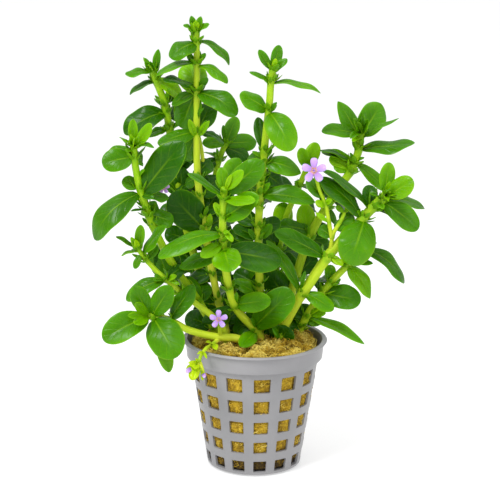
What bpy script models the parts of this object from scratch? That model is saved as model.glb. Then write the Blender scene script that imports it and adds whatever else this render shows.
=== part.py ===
"""Bacopa growing from a lump of rock wool in a small net pot.

Metres, +Z up. The origin is the middle of the pot's underside, and the side the
plant is looked at from is -Y. Dimensions and the plant's layout are in mm, and
MM turns them into metres where a mesh is made.
"""
import math
from dataclasses import dataclass, field

import bmesh
import bpy
from mathutils import Vector, noise

MM = 0.001

# Driving dimensions of the pot
POT_HEIGHT = 49.5
RIM_RADIUS = 27.5
BAND_RADIUS = 26.05
BAND_DEPTH = 6.2
BASE_RADIUS = 17.1
WALL = 1.0
WALL_FOOT_RADIUS = 17.7
WALL_FLARE = 0.145
HOLE_COLUMNS = 14
HOLE_SHARE = 0.55
FIRST_COLUMN = math.radians(6.9)
HOLE_ROWS = 5
TOP_ROW_HEIGHT = 37.4
ROW_PITCH = 8.8
PITCH_SHRINK = 0.965
HOLE_TALL = 5.05
HOLE_SHRINK = 0.93
SLOT_INNER = 7.5
SLOT_OUTER = 13.0

BAND_SLOPE = 1.3
FOOT_EDGE = 0.65

# Driving dimensions of the rock wool
WOOL_TOP = 47.6
WOOL_FOOT = 1.6
WOOL_CLEAR = 0.5
WOOL_LUMP = 0.9
LUMP_SPAN = 7.0
LUMPY_TOP = 4.0

# Driving dimensions of the plant
GAP = 0.3
STEM_STEP = 17.0
TWIG_STEP = 4.5
TWIG_RADII = (0.75, 0.6)
LEAF_RINGS = 6
SMALL_RINGS = 4
RING_SPAN = 5.0
LEAF_THICK = 0.7
NARROW_LEAF_THICK = 0.35
PETIOLE = 0.16
ROOT_SINK = 0.25
FLOWER_RADIUS = 4.5
FLOWER_THROAT = 0.3
FLOWER_CUP = 0.5
PETAL_THICK = 0.4
PETALS = 5

# The plant is laid out on an upright sheet through the pot's axis, as it looks
# from EYE. A place is (across, up, depth), its depth behind the sheet, and it
# slides along its own line of sight to that depth.
EYE = Vector((-2.1, -606.0, 233.0))


@dataclass
class Leaf:
    """A leaf from its node on the stem, at (across, up), to its tip, a place.

    The upper face looks toward the viewer for lift 0 and straight up for lift
    90. Bow arches the midrib off its chord. A leaf of its own stands clear of
    the stem by a gap, and any other is grown into it.
    """
    at: tuple
    tip: tuple
    width: float
    lift: float = 45.0
    bow: float = 0.5
    tone: str = "mid"
    own: bool = False


@dataclass
class Shoot:
    """A stem through its places, with what grows on it.

    Lean is how far the whole shoot draws back, in mm for each mm above the rim.
    """
    name: str
    stem: list
    radii: tuple
    lean: float
    leaves: list
    twigs: list = field(default_factory=list)
    flowers: list = field(default_factory=list)


TALL_LEFT = Shoot(
    "tall_left",
    stem=[(-8.5, 40, 6.5), (-9.8, 46, 6), (-11.5, 54, 5), (-13.5, 62, 4), (-15.5, 71, 3.5),
          (-17.6, 82, 3), (-19.3, 93, 2.5), (-21, 104, 2), (-21.9, 114, 1.5), (-22.1, 130, 0),
          (-22, 150, -1), (-22, 165, -2)],
    radii=(1.5, 1.15),
    lean=0.05,
    leaves=[
        Leaf((-22, 162.8), (-27.2, 168.2, -4), 2.8, lift=40),
        Leaf((-22, 163.1), (-17.2, 168.8, -3.5), 2.8, lift=40),
        Leaf((-22, 164.2), (-24.4, 170.8, 0), 2.4, lift=15),
        Leaf((-22, 164), (-20.2, 170.6, -5), 2.2, lift=20),
        Leaf((-22, 161), (-31.4, 155.9, -7), 7.4, lift=45, bow=1.8),
        Leaf((-22, 161.5), (-10.3, 153, 0), 6.5, lift=72, bow=2),
        Leaf((-22, 153.6), (-37, 148.6, -6), 6, lift=80, bow=1.6),
        Leaf((-22, 153), (-11, 146, -6), 5.5, lift=70, bow=1.2),
        Leaf((-21.8, 143), (-25, 153.6, 8), 10.8, lift=15),
        Leaf((-22, 144.6), (-34, 147.2, -7), 5, lift=70, bow=1, tone="dark"),
        Leaf((-22, 143.5), (-7.6, 134.5, -9), 8.2, lift=50, bow=2.2, own=True),
        Leaf((-22, 143.5), (-27, 129.5, -11), 10, lift=40, bow=1.5, own=True),
        Leaf((-22, 127.8), (-36.5, 123.5, -4), 7, lift=40, bow=1, own=True),
        Leaf((-22, 128.5), (-16.8, 138.8, 9), 8, lift=20, own=True, tone="dark"),
        Leaf((-22, 127.5), (-12, 124, 3), 5.5, lift=70, bow=0.8, tone="dark"),
        Leaf((-22, 126), (-26.3, 117.3, 6), 6, lift=30),
        Leaf((-21.6, 110.5), (-26.4, 108.4, 5), 5, lift=40, tone="dark"),
        Leaf((-21.6, 110.5), (-16.5, 105.5, 12), 6, lift=50, tone="dark"),
        Leaf((-19.2, 91.8), (-31.8, 104.6, -3), 12.5, lift=15, bow=1, own=True, tone="dark"),
        Leaf((-18.6, 90), (-17, 97.3, 1), 2.6, lift=15, tone="young"),
        Leaf((-19, 91.5), (-10, 96, 12), 8, lift=40, tone="dark"),
        Leaf((-16, 74), (-27, 71, 8), 8, lift=50, tone="dark"),
        Leaf((-15.8, 73), (-9, 71.5, 8), 6, lift=50, tone="dark"),
        Leaf((-11.8, 55), (-5.5, 61, 12), 7.5, lift=30, tone="dark"),
        Leaf((-11.8, 55), (-19.5, 61, 5.4), 6.5, lift=20, tone="dark"),
        Leaf((-18, 84), (-17, 86.5, 18), 8, lift=60, tone="dark"),
        Leaf((-14, 64), (-22, 67.5, 8), 6, lift=20, tone="dark"),
        Leaf((-18.2, 87), (-13, 90.5, 10), 6, lift=20, tone="dark"),
    ])

UPPER_LEFT = Shoot(
    "upper_left",
    stem=[(-8, 40, 12.5), (-9.2, 46, 12), (-12.5, 54, 11.5), (-17, 64, 10.5), (-22, 78, 9.5),
          (-26, 92, 8.5), (-28.3, 105, 7.5), (-29.8, 113, 6.5), (-31, 121, 5),
          (-32.3, 130, 3.5), (-33.8, 138.5, 2), (-35.6, 143.5, 1), (-37.3, 148, 0),
          (-38.3, 152, -1)],
    radii=(1.5, 1.1),
    lean=0.1,
    leaves=[
        Leaf((-38, 151), (-35.4, 158.4, -2), 3.2, lift=15, tone="young"),
        Leaf((-38, 151), (-48.2, 149.4, -4), 4.6, lift=72, bow=0.8),
        Leaf((-37.5, 146.6), (-46.5, 141.7, 0), 5, lift=80, bow=1, tone="dark"),
        Leaf((-37.2, 147.3), (-27.6, 141.3, 5), 4.2, lift=60, bow=0.8, tone="young"),
        Leaf((-33.8, 138.3), (-48.6, 127.3, -1), 9.6, lift=38, bow=2.6, own=True, tone="dark"),
        Leaf((-33.6, 138.5), (-28.5, 145, 9), 4, lift=20),
        Leaf((-32.2, 129), (-39.8, 126, -1), 3, lift=80),
        Leaf((-30, 114), (-26.3, 118.6, 4), 2.2),
        Leaf((-30, 113.5), (-24, 110.5, 12), 5.5, lift=50, tone="dark"),
        Leaf((-31, 121), (-38, 119, 14), 6, lift=60, tone="dark"),
        Leaf((-27, 97), (-36, 98.5, 10), 7, lift=35, tone="dark"),
        Leaf((-27, 97), (-19, 101, 17), 7, lift=50, tone="dark"),
        Leaf((-22, 78), (-31, 84, 13), 8, lift=45, tone="dark"),
        Leaf((-30, 113.5), (-23, 121.5, 9), 7, lift=30, tone="dark"),
        Leaf((-24, 85), (-23, 87, 21), 8, lift=60, tone="dark"),
        Leaf((-25, 88), (-34, 90, 10), 7, lift=20, tone="dark"),
        Leaf((-23.6, 83), (-17.5, 86.5, 18), 6, lift=20, tone="dark"),
        Leaf((-33, 133.5), (-27, 135.5, 10), 6.5, lift=20, tone="dark"),
    ])

TALL_RIGHT = Shoot(
    "tall_right",
    stem=[(3.2, 40, 4.5), (3, 46, 4.5), (2.6, 54, 4), (2, 62, 3.5), (1.6, 71, 3), (1.2, 81, 2),
          (1, 91, 1), (1.3, 100, 0), (1.6, 108, -1), (2.6, 116, -1.5), (3, 122, -2),
          (3.8, 131, -2), (4.9, 140, -2), (5.3, 147, -2), (6, 152.5, -2)],
    radii=(1.6, 1.15),
    lean=-0.04,
    leaves=[
        Leaf((5.9, 151.5), (0.5, 158.6, -3), 3.2, lift=20),
        Leaf((5.9, 151.5), (8, 160.4, 0), 4, lift=15),
        Leaf((5.9, 151.5), (11, 155.3, -3), 2.8, lift=30),
        Leaf((5.4, 147.3), (-2.8, 150.5, -3), 3.2, lift=60),
        Leaf((5.4, 147.3), (23.5, 143.1, -1), 6.6, lift=80, bow=1.7, own=True),
        Leaf((4.6, 136.8), (-6.3, 142.2, -4), 7, lift=50, bow=0.8),
        Leaf((4.4, 135.8), (12.6, 121.8, -13), 9.4, lift=30, bow=2.6, own=True),
        Leaf((3, 121.5), (0.4, 133.8, 4), 4.5, lift=10, tone="dark"),
        Leaf((2.9, 118), (16.4, 113.7, -3), 6.4, lift=45, bow=1.5, own=True),
        Leaf((1.5, 105), (22, 101.8, -4), 7.5, lift=45, bow=1.6, own=True, tone="dark"),
        Leaf((1.5, 105), (-8.5, 107, 4), 5, lift=40, tone="dark"),
        Leaf((1.6, 106), (5.2, 109.2, -3), 2.2, lift=30),
        Leaf((1.7, 109.5), (13.5, 108.3, 9), 7, lift=40, tone="dark"),
        Leaf((1, 88), (-8.3, 92.3, 3), 6, lift=50, tone="dark"),
        Leaf((1, 88), (6, 93.4, -2), 3.6, lift=20),
        Leaf((1, 89), (8.5, 95.6, 8), 6.5, lift=40, tone="dark"),
        Leaf((1.6, 70), (-8, 74.5, 8), 6.5, lift=30, tone="dark"),
        Leaf((1.8, 66), (-7.9, 71.4, 0), 5, lift=30),
        Leaf((1, 93), (-7.5, 98.5, 9), 7, lift=40, tone="dark"),
        Leaf((1.3, 100), (2, 103, 15), 8, lift=60, tone="dark"),
    ])

UPPER_RIGHT = Shoot(
    "upper_right",
    stem=[(9.3, 40, 9), (9.6, 46, 8.8), (10.8, 53, 8.5), (12.5, 62, 8), (15, 72, 7.5),
          (17.5, 81, 6.5), (20, 88, 5.5), (22.7, 94, 4.5), (25.6, 99, 3.5), (28.6, 103.7, 2.5),
          (31.6, 108.7, 2), (34.9, 113.6, 1.5), (36.7, 118, 1), (37.9, 122.5, 0.5),
          (38.4, 128.5, 0)],
    radii=(1.65, 1.3),
    lean=0.14,
    leaves=[
        Leaf((38.2, 127.5), (29.5, 139.6, -1), 6, lift=45),
        Leaf((38.2, 127.5), (45.4, 138.8, 9), 9.8, lift=5, own=True),
        Leaf((38.2, 127.5), (38.8, 136.6, -5), 4, lift=15, tone="dark"),
        Leaf((38, 126.8), (52.4, 133.8, -6), 4.4, lift=76),
        Leaf((38.1, 127), (24.2, 128, -4), 5.5, lift=55, bow=1.6),
        Leaf((37.6, 122.4), (58.5, 124.7, -3), 8, lift=58, bow=-1, own=True),
        Leaf((35.9, 116.8), (23.5, 121.6, -1), 5, lift=80, bow=1.2, tone="dark"),
        Leaf((36, 117.4), (48.7, 107, 6), 6, lift=35, bow=1.8, own=True),
        Leaf((34.6, 114.8), (27, 119.2, 3), 4, lift=20, tone="young"),
        Leaf((20.3, 88.5), (18, 101.3, 9), 7, lift=15, own=True),
        Leaf((28.3, 103.2), (20.5, 107.5, 9), 4, lift=50, tone="dark"),
        Leaf((28.3, 103.2), (35, 98, 13), 7, lift=50, tone="dark"),
        Leaf((20, 88), (28, 84.5, 9), 5, lift=30, tone="dark"),
        Leaf((26.5, 100.5), (29.8, 93.5, 7), 2.4, lift=20),
        Leaf((12.8, 63.5), (4.8, 75, 7), 9.5, lift=20, tone="dark"),
        Leaf((11.2, 55.5), (19.5, 61.5, 14), 7.5, lift=30, tone="dark"),
        Leaf((15, 72), (17, 74, 21), 8, lift=60, tone="dark"),
        Leaf((15.8, 75), (22.5, 81.5, 8), 7, lift=20, tone="dark"),
        Leaf((20.6, 89.5), (27, 93, 8), 6, lift=20, tone="dark"),
    ])

RIGHT = Shoot(
    "right",
    stem=[(14.6, 40, 4.5), (15, 46, 4.3), (16.7, 51.5, 3.8), (19, 56.5, 3.2), (21.7, 61.5, 2.6),
          (25, 66.6, 2), (28.2, 70.8, 1.5), (31, 74, 1), (34, 77.2, 0.5), (37.3, 81, 0),
          (40.2, 85.2, -0.5)],
    radii=(1.75, 1.35),
    lean=-0.07,
    leaves=[
        Leaf((39.8, 84.8), (56.2, 71, 2), 6.5, lift=60, bow=2, own=True),
        Leaf((34.6, 78), (43.2, 64.8, -3), 6.8, lift=55, bow=1.6, own=True, tone="young"),
        Leaf((34.8, 78.5), (43.5, 78.3, 0), 2.4, lift=90),
        Leaf((34.2, 77.5), (28, 80, 0), 3, lift=50, tone="young"),
        Leaf((29, 71), (28.2, 78, 5), 4.6, lift=15, tone="dark"),
        Leaf((25.8, 66.6), (39.8, 65, -1), 9, lift=25, bow=0.8, own=True, tone="dark"),
        Leaf((26.3, 67.3), (23, 71.5, 7), 3.6, lift=30, tone="dark"),
        Leaf((20.3, 57.8), (41.5, 47, -5), 6.5, lift=75, bow=2.4, own=True),
        Leaf((20.8, 58.5), (26.8, 59, -1), 3, lift=25, tone="young"),
        Leaf((18.8, 55.5), (25.3, 56.3, 5), 3.8, lift=30, tone="dark"),
        Leaf((19.5, 57), (12.5, 62.5, 6), 5, lift=30, tone="dark"),
        Leaf((28.2, 70), (30.5, 73, 14), 8, lift=60, tone="dark"),
    ])

CENTRE = Shoot(
    "centre",
    stem=[(3.5, 40, 1), (3.3, 46, 0.5), (1.4, 50.5, -0.5), (-1.3, 53.8, -1.8), (-4.4, 57, -3.2),
          (-7.4, 61, -5), (-9.2, 65.5, -7), (-10.4, 71, -9), (-11.6, 78, -11), (-12.3, 86, -13),
          (-12.4, 95, -14.3), (-12.1, 103, -15.2), (-11.8, 107.5, -15.8)],
    radii=(1.6, 1.3),
    lean=-0.1,
    leaves=[
        Leaf((-11.8, 106.5), (-12.9, 115, -13), 4.3, lift=10, tone="young"),
        Leaf((-11.8, 106.5), (-4.8, 113.8, -20), 5, lift=25, tone="young"),
        Leaf((-11.8, 106), (-6.2, 118.3, -2), 8, lift=5),
        Leaf((-11.8, 105.5), (2.2, 116.8, -13.5), 8.5, lift=20, own=True),
        Leaf((-12.1, 104), (-25.5, 112.4, -18), 6, lift=72, own=True),
        Leaf((-12.1, 103), (-0.4, 102, -28), 4.2, lift=55, tone="young"),
        Leaf((-12.3, 97), (-15.6, 101.5, -16), 2.6, lift=30, tone="young"),
        Leaf((-12.4, 95.5), (1.2, 103.8, -21), 9, lift=30, bow=0.8, own=True),
        Leaf((-12.5, 89.8), (-36.3, 80.5, -20), 7, lift=68, bow=3, own=True),
        Leaf((-12.4, 91), (-7.6, 84, -21), 4, lift=60, tone="young"),
        Leaf((-12.4, 86.3), (-20.6, 80.6, -21), 5.2, lift=25, tone="young"),
        Leaf((-12.2, 84.2), (-9.6, 74.8, -25), 10.2, lift=40, own=True, tone="young"),
        Leaf((-12.2, 83), (9.7, 79, -9), 11.5, lift=32, bow=1, own=True, tone="dark"),
        Leaf((-12, 81.5), (-28.8, 76.6, -8), 6, lift=60, bow=1),
        Leaf((-7.7, 62), (5.9, 64, -11), 8, lift=25, bow=0.6, own=True, tone="young"),
        Leaf((-7.7, 61.5), (-20, 55, -2.4), 5, lift=15, tone="dark"),
        Leaf((0, 52.3), (-5, 45.3, -9), 6, lift=40, bow=1, tone="young"),
        Leaf((0.6, 51.7), (15.2, 68.5, -9), 13.5, lift=20, bow=2, own=True),
    ])

RIGHT_FORK = Shoot(
    "right_fork",
    stem=[(8.6, 40, -1), (8.9, 46, -1.2), (10.2, 52, -1.6), (12.4, 57, -2.2), (15, 62, -3),
          (17.6, 66.5, -4), (19.9, 69.9, -4.6), (22.2, 73.5, -5.2), (25.2, 78.4, -5.6),
          (27.5, 81.7, -5.8), (29.6, 84.3, -5.4), (32.4, 87.7, -4.6), (36.3, 91.9, -3.4),
          (39.7, 95.6, -2.4), (42.7, 99.2, -2), (46.2, 102.6, -2), (49.3, 105.8, -2)],
    radii=(1.9, 1.45),
    lean=-0.07,
    leaves=[
        Leaf((48.7, 105.3), (49.2, 117.3, -1), 5.6, lift=12, tone="young"),
        Leaf((48.7, 105.3), (58.3, 110.8, -5), 7.6, lift=25, tone="young"),
        Leaf((47.7, 104.5), (62.8, 100.2, 4), 5.4, lift=70, bow=1.5, own=True),
        Leaf((46.3, 103), (60.3, 92.6, -6), 7.6, lift=40, bow=2, own=True),
        Leaf((43.6, 100.5), (58.2, 91.6, 1), 5, lift=82, bow=1.2),
        Leaf((43.1, 100.5), (42, 108.7, 3), 5.6, lift=15, tone="dark"),
        Leaf((42.4, 99.5), (24.3, 114, -6), 6.5, lift=65, bow=1.6, own=True, tone="dark"),
        Leaf((40.2, 96), (23.3, 111, -6), 8, lift=50, bow=2, own=True, tone="dark"),
        Leaf((40.2, 95.3), (35.8, 78, -12), 13.8, lift=20, bow=4, own=True),
        Leaf((17.4, 67), (4, 87.3, 1), 6, lift=65, bow=1.5, own=True),
        Leaf((18.2, 67.5), (29.4, 60.4, -9), 7.4, lift=35, bow=0.8, own=True, tone="young"),
        Leaf((26.6, 80.5), (7, 90.3, -9), 8, lift=45, bow=1, own=True, tone="dark"),
        Leaf((27.5, 82), (32.8, 77.6, -10), 2.8, tone="young"),
        Leaf((28.5, 89), (23.6, 92.2, -3), 5, lift=30),
    ],
    twigs=[[(27.9, 82.6, -5.8), (28.5, 87.3, -6.2), (27.9, 91.4, -6.2), (27, 96.2, -6.2),
            (25.9, 101.5, -6.3), (23.8, 106, -7), (22.4, 110.3, -8), (21.6, 113, -8.8)],
           [(28.5, 88, -6.2), (29.2, 90.5, -6), (30.8, 93.2, -5.5), (32.2, 95.8, -5),
            (33.2, 98.4, -4.5)]],
    flowers=[((21.4, 114, -10.2), 1.0)])

LEFT = Shoot(
    "left",
    stem=[(-12.6, 40, 2), (-13.2, 46, 1.6), (-15.6, 53, 0.8), (-19.5, 60, -0.5), (-24, 67, -2),
          (-28.3, 73.2, -3.2), (-32.2, 79.5, -4.2), (-36, 87, -5), (-38.5, 92.5, -5.3),
          (-40.8, 98.8, -5.8), (-42.8, 105, -6.3), (-44.3, 112, -7), (-45.2, 118.5, -7.6),
          (-45.4, 124, -8)],
    radii=(1.55, 1.2),
    lean=-0.1,
    leaves=[
        Leaf((-45.4, 123), (-45.6, 132.8, -8), 3.4, lift=12, tone="young"),
        Leaf((-45.4, 121.9), (-39, 131.2, -10), 5, lift=25, tone="young"),
        Leaf((-45.4, 123), (-50.5, 125.7, -9), 2.2, lift=80),
        Leaf((-45.4, 123), (-38, 122, -9), 3, lift=90, bow=0.8),
        Leaf((-45.2, 118.6), (-57, 116.8, -9), 8.2, lift=30, bow=0.6, own=True),
        Leaf((-45.2, 118.8), (-41, 118.3, 0), 6, lift=20, tone="dark"),
        Leaf((-43.2, 107), (-49.6, 110.2, -5), 5, lift=25),
        Leaf((-42.9, 105.3), (-60.2, 86.8, -12), 9.5, lift=48, bow=4.2, own=True),
        Leaf((-42.8, 105), (-26.8, 124.3, -9.5), 11.8, lift=22, bow=1.5, own=True, tone="dark"),
        Leaf((-42.6, 104.6), (-38, 103, -10), 2.6, lift=30),
        Leaf((-38.5, 92.5), (-31.5, 96.5, 13), 6.5, lift=20, tone="dark"),
        Leaf((-16, 54), (-26.3, 57.5, 6), 8.5, lift=20, tone="dark"),
        Leaf((-29, 74.5), (-36.8, 83, 0), 9.5, lift=20, tone="dark"),
        Leaf((-24, 67), (-31, 72, 6), 7, lift=40, tone="dark"),
        Leaf((-28.3, 73.2), (-27, 76, 11), 8, lift=60, tone="dark"),
    ],
    twigs=[[(-42.6, 104.4, -6.3), (-39.3, 104.6, -4.5), (-36.6, 106.2, -2.5)]],
    flowers=[((-34.4, 107, -1.2), 0.5)])

LOW_LEFT = Shoot(
    "low_left",
    stem=[(-10, 40, -3.6), (-10.4, 46, -4), (-12.4, 53, -6.8), (-16.2, 57.6, -9),
          (-21, 61.3, -9), (-26, 65.2, -9.6), (-30.2, 68.7, -10), (-34, 72, -10.2),
          (-38, 75.8, -10.3), (-41.6, 80, -10.5), (-44.4, 84, -10.8)],
    radii=(1.6, 1.2),
    lean=-0.1,
    leaves=[
        Leaf((-44, 83.4), (-43, 92.8, -11), 3.6, lift=15, tone="young"),
        Leaf((-44, 83.4), (-52.4, 88.2, -11), 2.4, lift=70, tone="young"),
        Leaf((-43.7, 83), (-50.4, 80.7, -12), 3, lift=80, bow=0.8, tone="young"),
        Leaf((-42.8, 81.8), (-45.5, 75.8, -13), 2.6, lift=30),
        Leaf((-42.5, 81.3), (-33.7, 92.4, -13), 5, lift=68, bow=0.6),
        Leaf((-41, 79.4), (-36.6, 84.6, -8), 3, lift=30),
        Leaf((-34, 72), (-48.9, 63.6, -12), 8, lift=48, bow=3, own=True),
        Leaf((-33.8, 71.8), (-27, 77, -6), 5, lift=40, tone="dark"),
    ])

TRAILING = Shoot(
    "trailing",
    stem=[(-4.6, 40, -7.4), (-5, 45.5, -7.8), (-8, 48.6, -9), (-13.3, 49.2, -10),
          (-20, 50.4, -11), (-26, 52.3, -12.2), (-30, 54.6, -13), (-34, 56.4, -14),
          (-38, 56.9, -15), (-41, 57.6, -15.5)],
    radii=(1.6, 1.2),
    lean=0.0,
    leaves=[
        Leaf((-40.4, 57.4), (-57.6, 48.2, -21), 10.5, lift=40, bow=1.8, own=True),
        Leaf((-38.3, 57), (-29.8, 41.4, -27), 12.8, lift=22, bow=2, own=True),
        Leaf((-38.8, 57), (-33, 69.6, -18), 8, lift=25, bow=0.8, own=True),
        Leaf((-31.8, 55.5), (-23, 69.8, -16), 6.5, lift=50, own=True),
        Leaf((-40.4, 57.4), (-46.3, 68, -6), 7.4, lift=20, tone="dark"),
        Leaf((-40.4, 57.4), (-45.6, 62.6, -19), 3.2, lift=25, tone="young"),
        Leaf((-40.4, 57.4), (-48.5, 57.2, -20), 2.8, lift=30, tone="young"),
        Leaf((-40.4, 57.4), (-46, 53.8, -22), 4, lift=30, tone="young"),
        Leaf((-37, 56.8), (-32.6, 35, -15), 5.8, lift=25, own=True),
        Leaf((-21.1, 38.9), (-24.4, 31.6, -27), 4.2, lift=20, tone="young"),
    ],
    twigs=[[(-13.3, 49, -9.5), (-16.4, 46, -15), (-18.6, 44.6, -20.5), (-20.6, 41.5, -24.5),
            (-21.2, 38.5, -26)],
           [(-21, 39, -25.7), (-20, 36.2, -27), (-19.3, 33.4, -27)],
           [(-21, 39, -25.7), (-23.6, 37.2, -27), (-25.9, 35.6, -27.5)],
           [(-13.4, 49.2, -9.3), (-13.3, 51.4, -11.5), (-13.6, 53.8, -12.8)]],
    flowers=[((-13.8, 56, -14.4), 0.86)])

BACK_LEFT = Shoot(
    "back_left",
    stem=[(-2.6, 40, 11), (-3.2, 46, 11.5), (-5.4, 55, 12.5), (-8.4, 66, 13.5), (-11.6, 80, 14),
          (-14, 95, 14), (-15.3, 108, 13.5), (-14.5, 115, 13), (-12.8, 120.5, 12.5),
          (-11, 124.5, 12)],
    radii=(1.5, 1.1),
    lean=0.1,
    leaves=[
        Leaf((-11.2, 124), (-7.5, 133.9, 18), 5.6, lift=5),
        Leaf((-11.2, 124), (0, 124.6, 19), 7, lift=20),
        Leaf((-11.2, 124), (-20, 123.8, 9), 5, lift=30),
        Leaf((-11.2, 124), (-19.8, 128.2, 13), 4, lift=95, tone="dark"),
        Leaf((-12, 122.5), (-2.6, 118.6, 14), 7, lift=40, tone="dark"),
        Leaf((-13.9, 117.7), (-19.6, 120.4, 14), 3, lift=80),
        Leaf((-14, 117.5), (-19.5, 114.8, 14), 4.6, lift=30, tone="dark"),
        Leaf((-14.7, 102), (-7, 95.5, 22), 8, lift=20, tone="dark"),
        Leaf((-14.5, 99), (-22, 93, 22), 8, lift=50, tone="dark"),
        Leaf((-12, 81), (-4, 84, 23), 9, lift=45, tone="dark"),
        Leaf((-12, 81), (-20, 75, 21), 9, lift=45, tone="dark"),
        Leaf((-8.6, 67), (-15, 66, 26), 9, lift=45, tone="dark"),
        Leaf((-8.6, 67), (-2, 70, 26), 9, lift=45, tone="dark"),
        Leaf((-15.2, 108), (-14, 107, 25), 7, lift=60, tone="dark"),
        Leaf((-15.3, 106.5), (-7.5, 106, 11), 7.5, lift=20, tone="dark"),
        Leaf((-15.3, 106.5), (-22.5, 103, 22), 7, lift=20, tone="dark"),
        Leaf((-8.4, 66), (-1.5, 63.5, 13), 7, lift=20, tone="dark"),
        Leaf((-7, 60), (-13, 65.5, 14), 6, lift=20, tone="dark"),
    ])

BACK_RIGHT = Shoot(
    "back_right",
    stem=[(5.6, 40, 14), (5.8, 46, 14), (6.4, 56, 14.5), (7.2, 68, 15), (8.6, 82, 15),
          (10.8, 94, 14.6), (13.6, 102.5, 13.8), (16, 108, 13), (17.8, 112.4, 12.2),
          (19.2, 115.8, 11.5)],
    radii=(1.5, 1.1),
    lean=0.1,
    leaves=[
        Leaf((18.9, 115.2), (22.2, 124.5, 12), 5.6, lift=10, tone="young"),
        Leaf((18.9, 115.2), (16.4, 122.5, 10), 4.4, lift=15, tone="young"),
        Leaf((10.2, 91), (10.4, 101.8, 18), 7.4, lift=12),
        Leaf((14, 103.3), (22, 99, 22), 8, lift=50, tone="dark"),
        Leaf((13.8, 103), (6, 105, 21), 8, lift=50, tone="dark"),
        Leaf((8.5, 81.5), (18, 84, 23), 9, lift=45, tone="dark"),
        Leaf((8.4, 81), (-1, 78, 22), 9, lift=45, tone="dark"),
        Leaf((7, 66), (15, 62, 23), 8, lift=45, tone="dark"),
        Leaf((7, 66), (-2, 62, 22), 8, lift=45, tone="dark"),
        Leaf((10.6, 93.3), (15, 94, 27), 8, lift=50, tone="dark"),
        Leaf((16, 108), (18, 108, 25), 7, lift=60, tone="dark"),
        Leaf((8.4, 80), (14.5, 76.5, 11), 7, lift=40, tone="dark"),
        Leaf((8.8, 84), (3, 90, 12), 7, lift=20, tone="dark"),
        Leaf((6.2, 53), (14, 57, 16), 6, lift=20, tone="dark"),
    ])

SHOOTS = [TALL_LEFT, UPPER_LEFT, TALL_RIGHT, UPPER_RIGHT, RIGHT, CENTRE, RIGHT_FORK, LEFT,
          LOW_LEFT, TRAILING, BACK_LEFT, BACK_RIGHT]

# Colours as seen, in sRGB from 0 to 255, with roughness
FINISHES = {
    "grey_plastic": ((165, 165, 168), 0.42),
    "rock_wool": ((196, 160, 66), 0.95),
    "stem": ((168, 205, 30), 0.45),
    "leaf_dark": ((34, 96, 10), 0.4),
    "leaf_mid": ((72, 146, 14), 0.4),
    "leaf_young": ((122, 188, 14), 0.42),
    "petal": ((208, 176, 246), 0.6),
}


def placed(place, lean=0.0):
    """The point, in mm, that a place on the sheet has at its depth."""
    across, up, depth = place
    depth += lean * max(0.0, up - POT_HEIGHT)
    reach = (depth - EYE.y) / -EYE.y
    return Vector((EYE.x + reach * (across - EYE.x), depth, EYE.z + reach * (up - EYE.z)))


def smooth_way(places, per_span=12):
    """Places close together on a smooth curve through the given ones."""
    knots = [Vector(place) for place in places]
    knots = [2 * knots[0] - knots[1]] + knots + [2 * knots[-1] - knots[-2]]
    way = []
    for before, start, end, after in zip(knots, knots[1:], knots[2:], knots[3:]):
        for step in range(per_span):
            t = step / per_span
            way.append(0.5 * (2 * start + (end - before) * t
                              + (2 * before - 5 * start + 4 * end - after) * t ** 2
                              + (3 * start - before - 3 * end + after) * t ** 3))
    way.append(knots[-2])
    return way


def even_points(way, step, lean):
    """Points a step apart, in mm, along a way of places, its ends kept."""
    points = [placed(place, lean) for place in way]
    lengths = [0.0]
    for a, b in zip(points, points[1:]):
        lengths.append(lengths[-1] + (b - a).length)
    count = max(3, round(lengths[-1] / step))
    even = []
    for k in range(count + 1):
        goal = lengths[-1] * k / count
        nearest = min(range(len(points)), key=lambda i: abs(lengths[i] - goal))
        even.append(points[nearest])
    return even


def half_width(share):
    """Half a blade's width at a share of its length, 1 where it is widest."""
    rise, fall = 0.68, 0.46
    peak = rise / (rise + fall)
    body = (share / peak) ** rise * ((1 - share) / (1 - peak)) ** fall
    return PETIOLE * (1 - share) + body * (1 - PETIOLE * (1 - peak))


def linear(channel):
    """A channel of an sRGB colour, 0 to 255, as a linear value."""
    value = channel / 255
    return value / 12.92 if value <= 0.04045 else ((value + 0.055) / 1.055) ** 2.4


def make_material(name):
    """The Principled material of a finish."""
    colour, roughness = FINISHES[name]
    material = bpy.data.materials.new(name)
    material.use_nodes = True
    shader = material.node_tree.nodes["Principled BSDF"]
    shader.inputs["Base Color"].default_value = [linear(c) for c in colour] + [1]
    shader.inputs["Roughness"].default_value = roughness
    shader.inputs["Metallic"].default_value = 0
    return material


class Workshop:
    """Makes objects in the part's collection or, for cutters, in the other."""

    def __init__(self):
        for old in list(bpy.data.objects):
            bpy.data.objects.remove(old)
        self.parts = bpy.data.collections.new("potted_bacopa_crenata")
        self.cutters = bpy.data.collections.new("cutters")
        for collection in (self.parts, self.cutters):
            bpy.context.scene.collection.children.link(collection)
        self.materials = {name: make_material(name) for name in FINISHES}

    def add(self, name, bm, finish, cutters=None):
        """An object from a bmesh in mm, which is scaled to metres and freed."""
        bmesh.ops.scale(bm, vec=(MM, MM, MM), verts=bm.verts)
        mesh = bpy.data.meshes.new(name)
        bm.to_mesh(mesh)
        bm.free()
        mesh.materials.append(self.materials[finish])
        item = bpy.data.objects.new(name, mesh)
        (cutters or self.parts).objects.link(item)
        if cutters:
            item.hide_render = True
            item.display_type = "WIRE"
        return item

    def group(self, name):
        """A collection of cutters, used together."""
        collection = bpy.data.collections.new(name)
        self.cutters.children.link(collection)
        return collection


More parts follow.
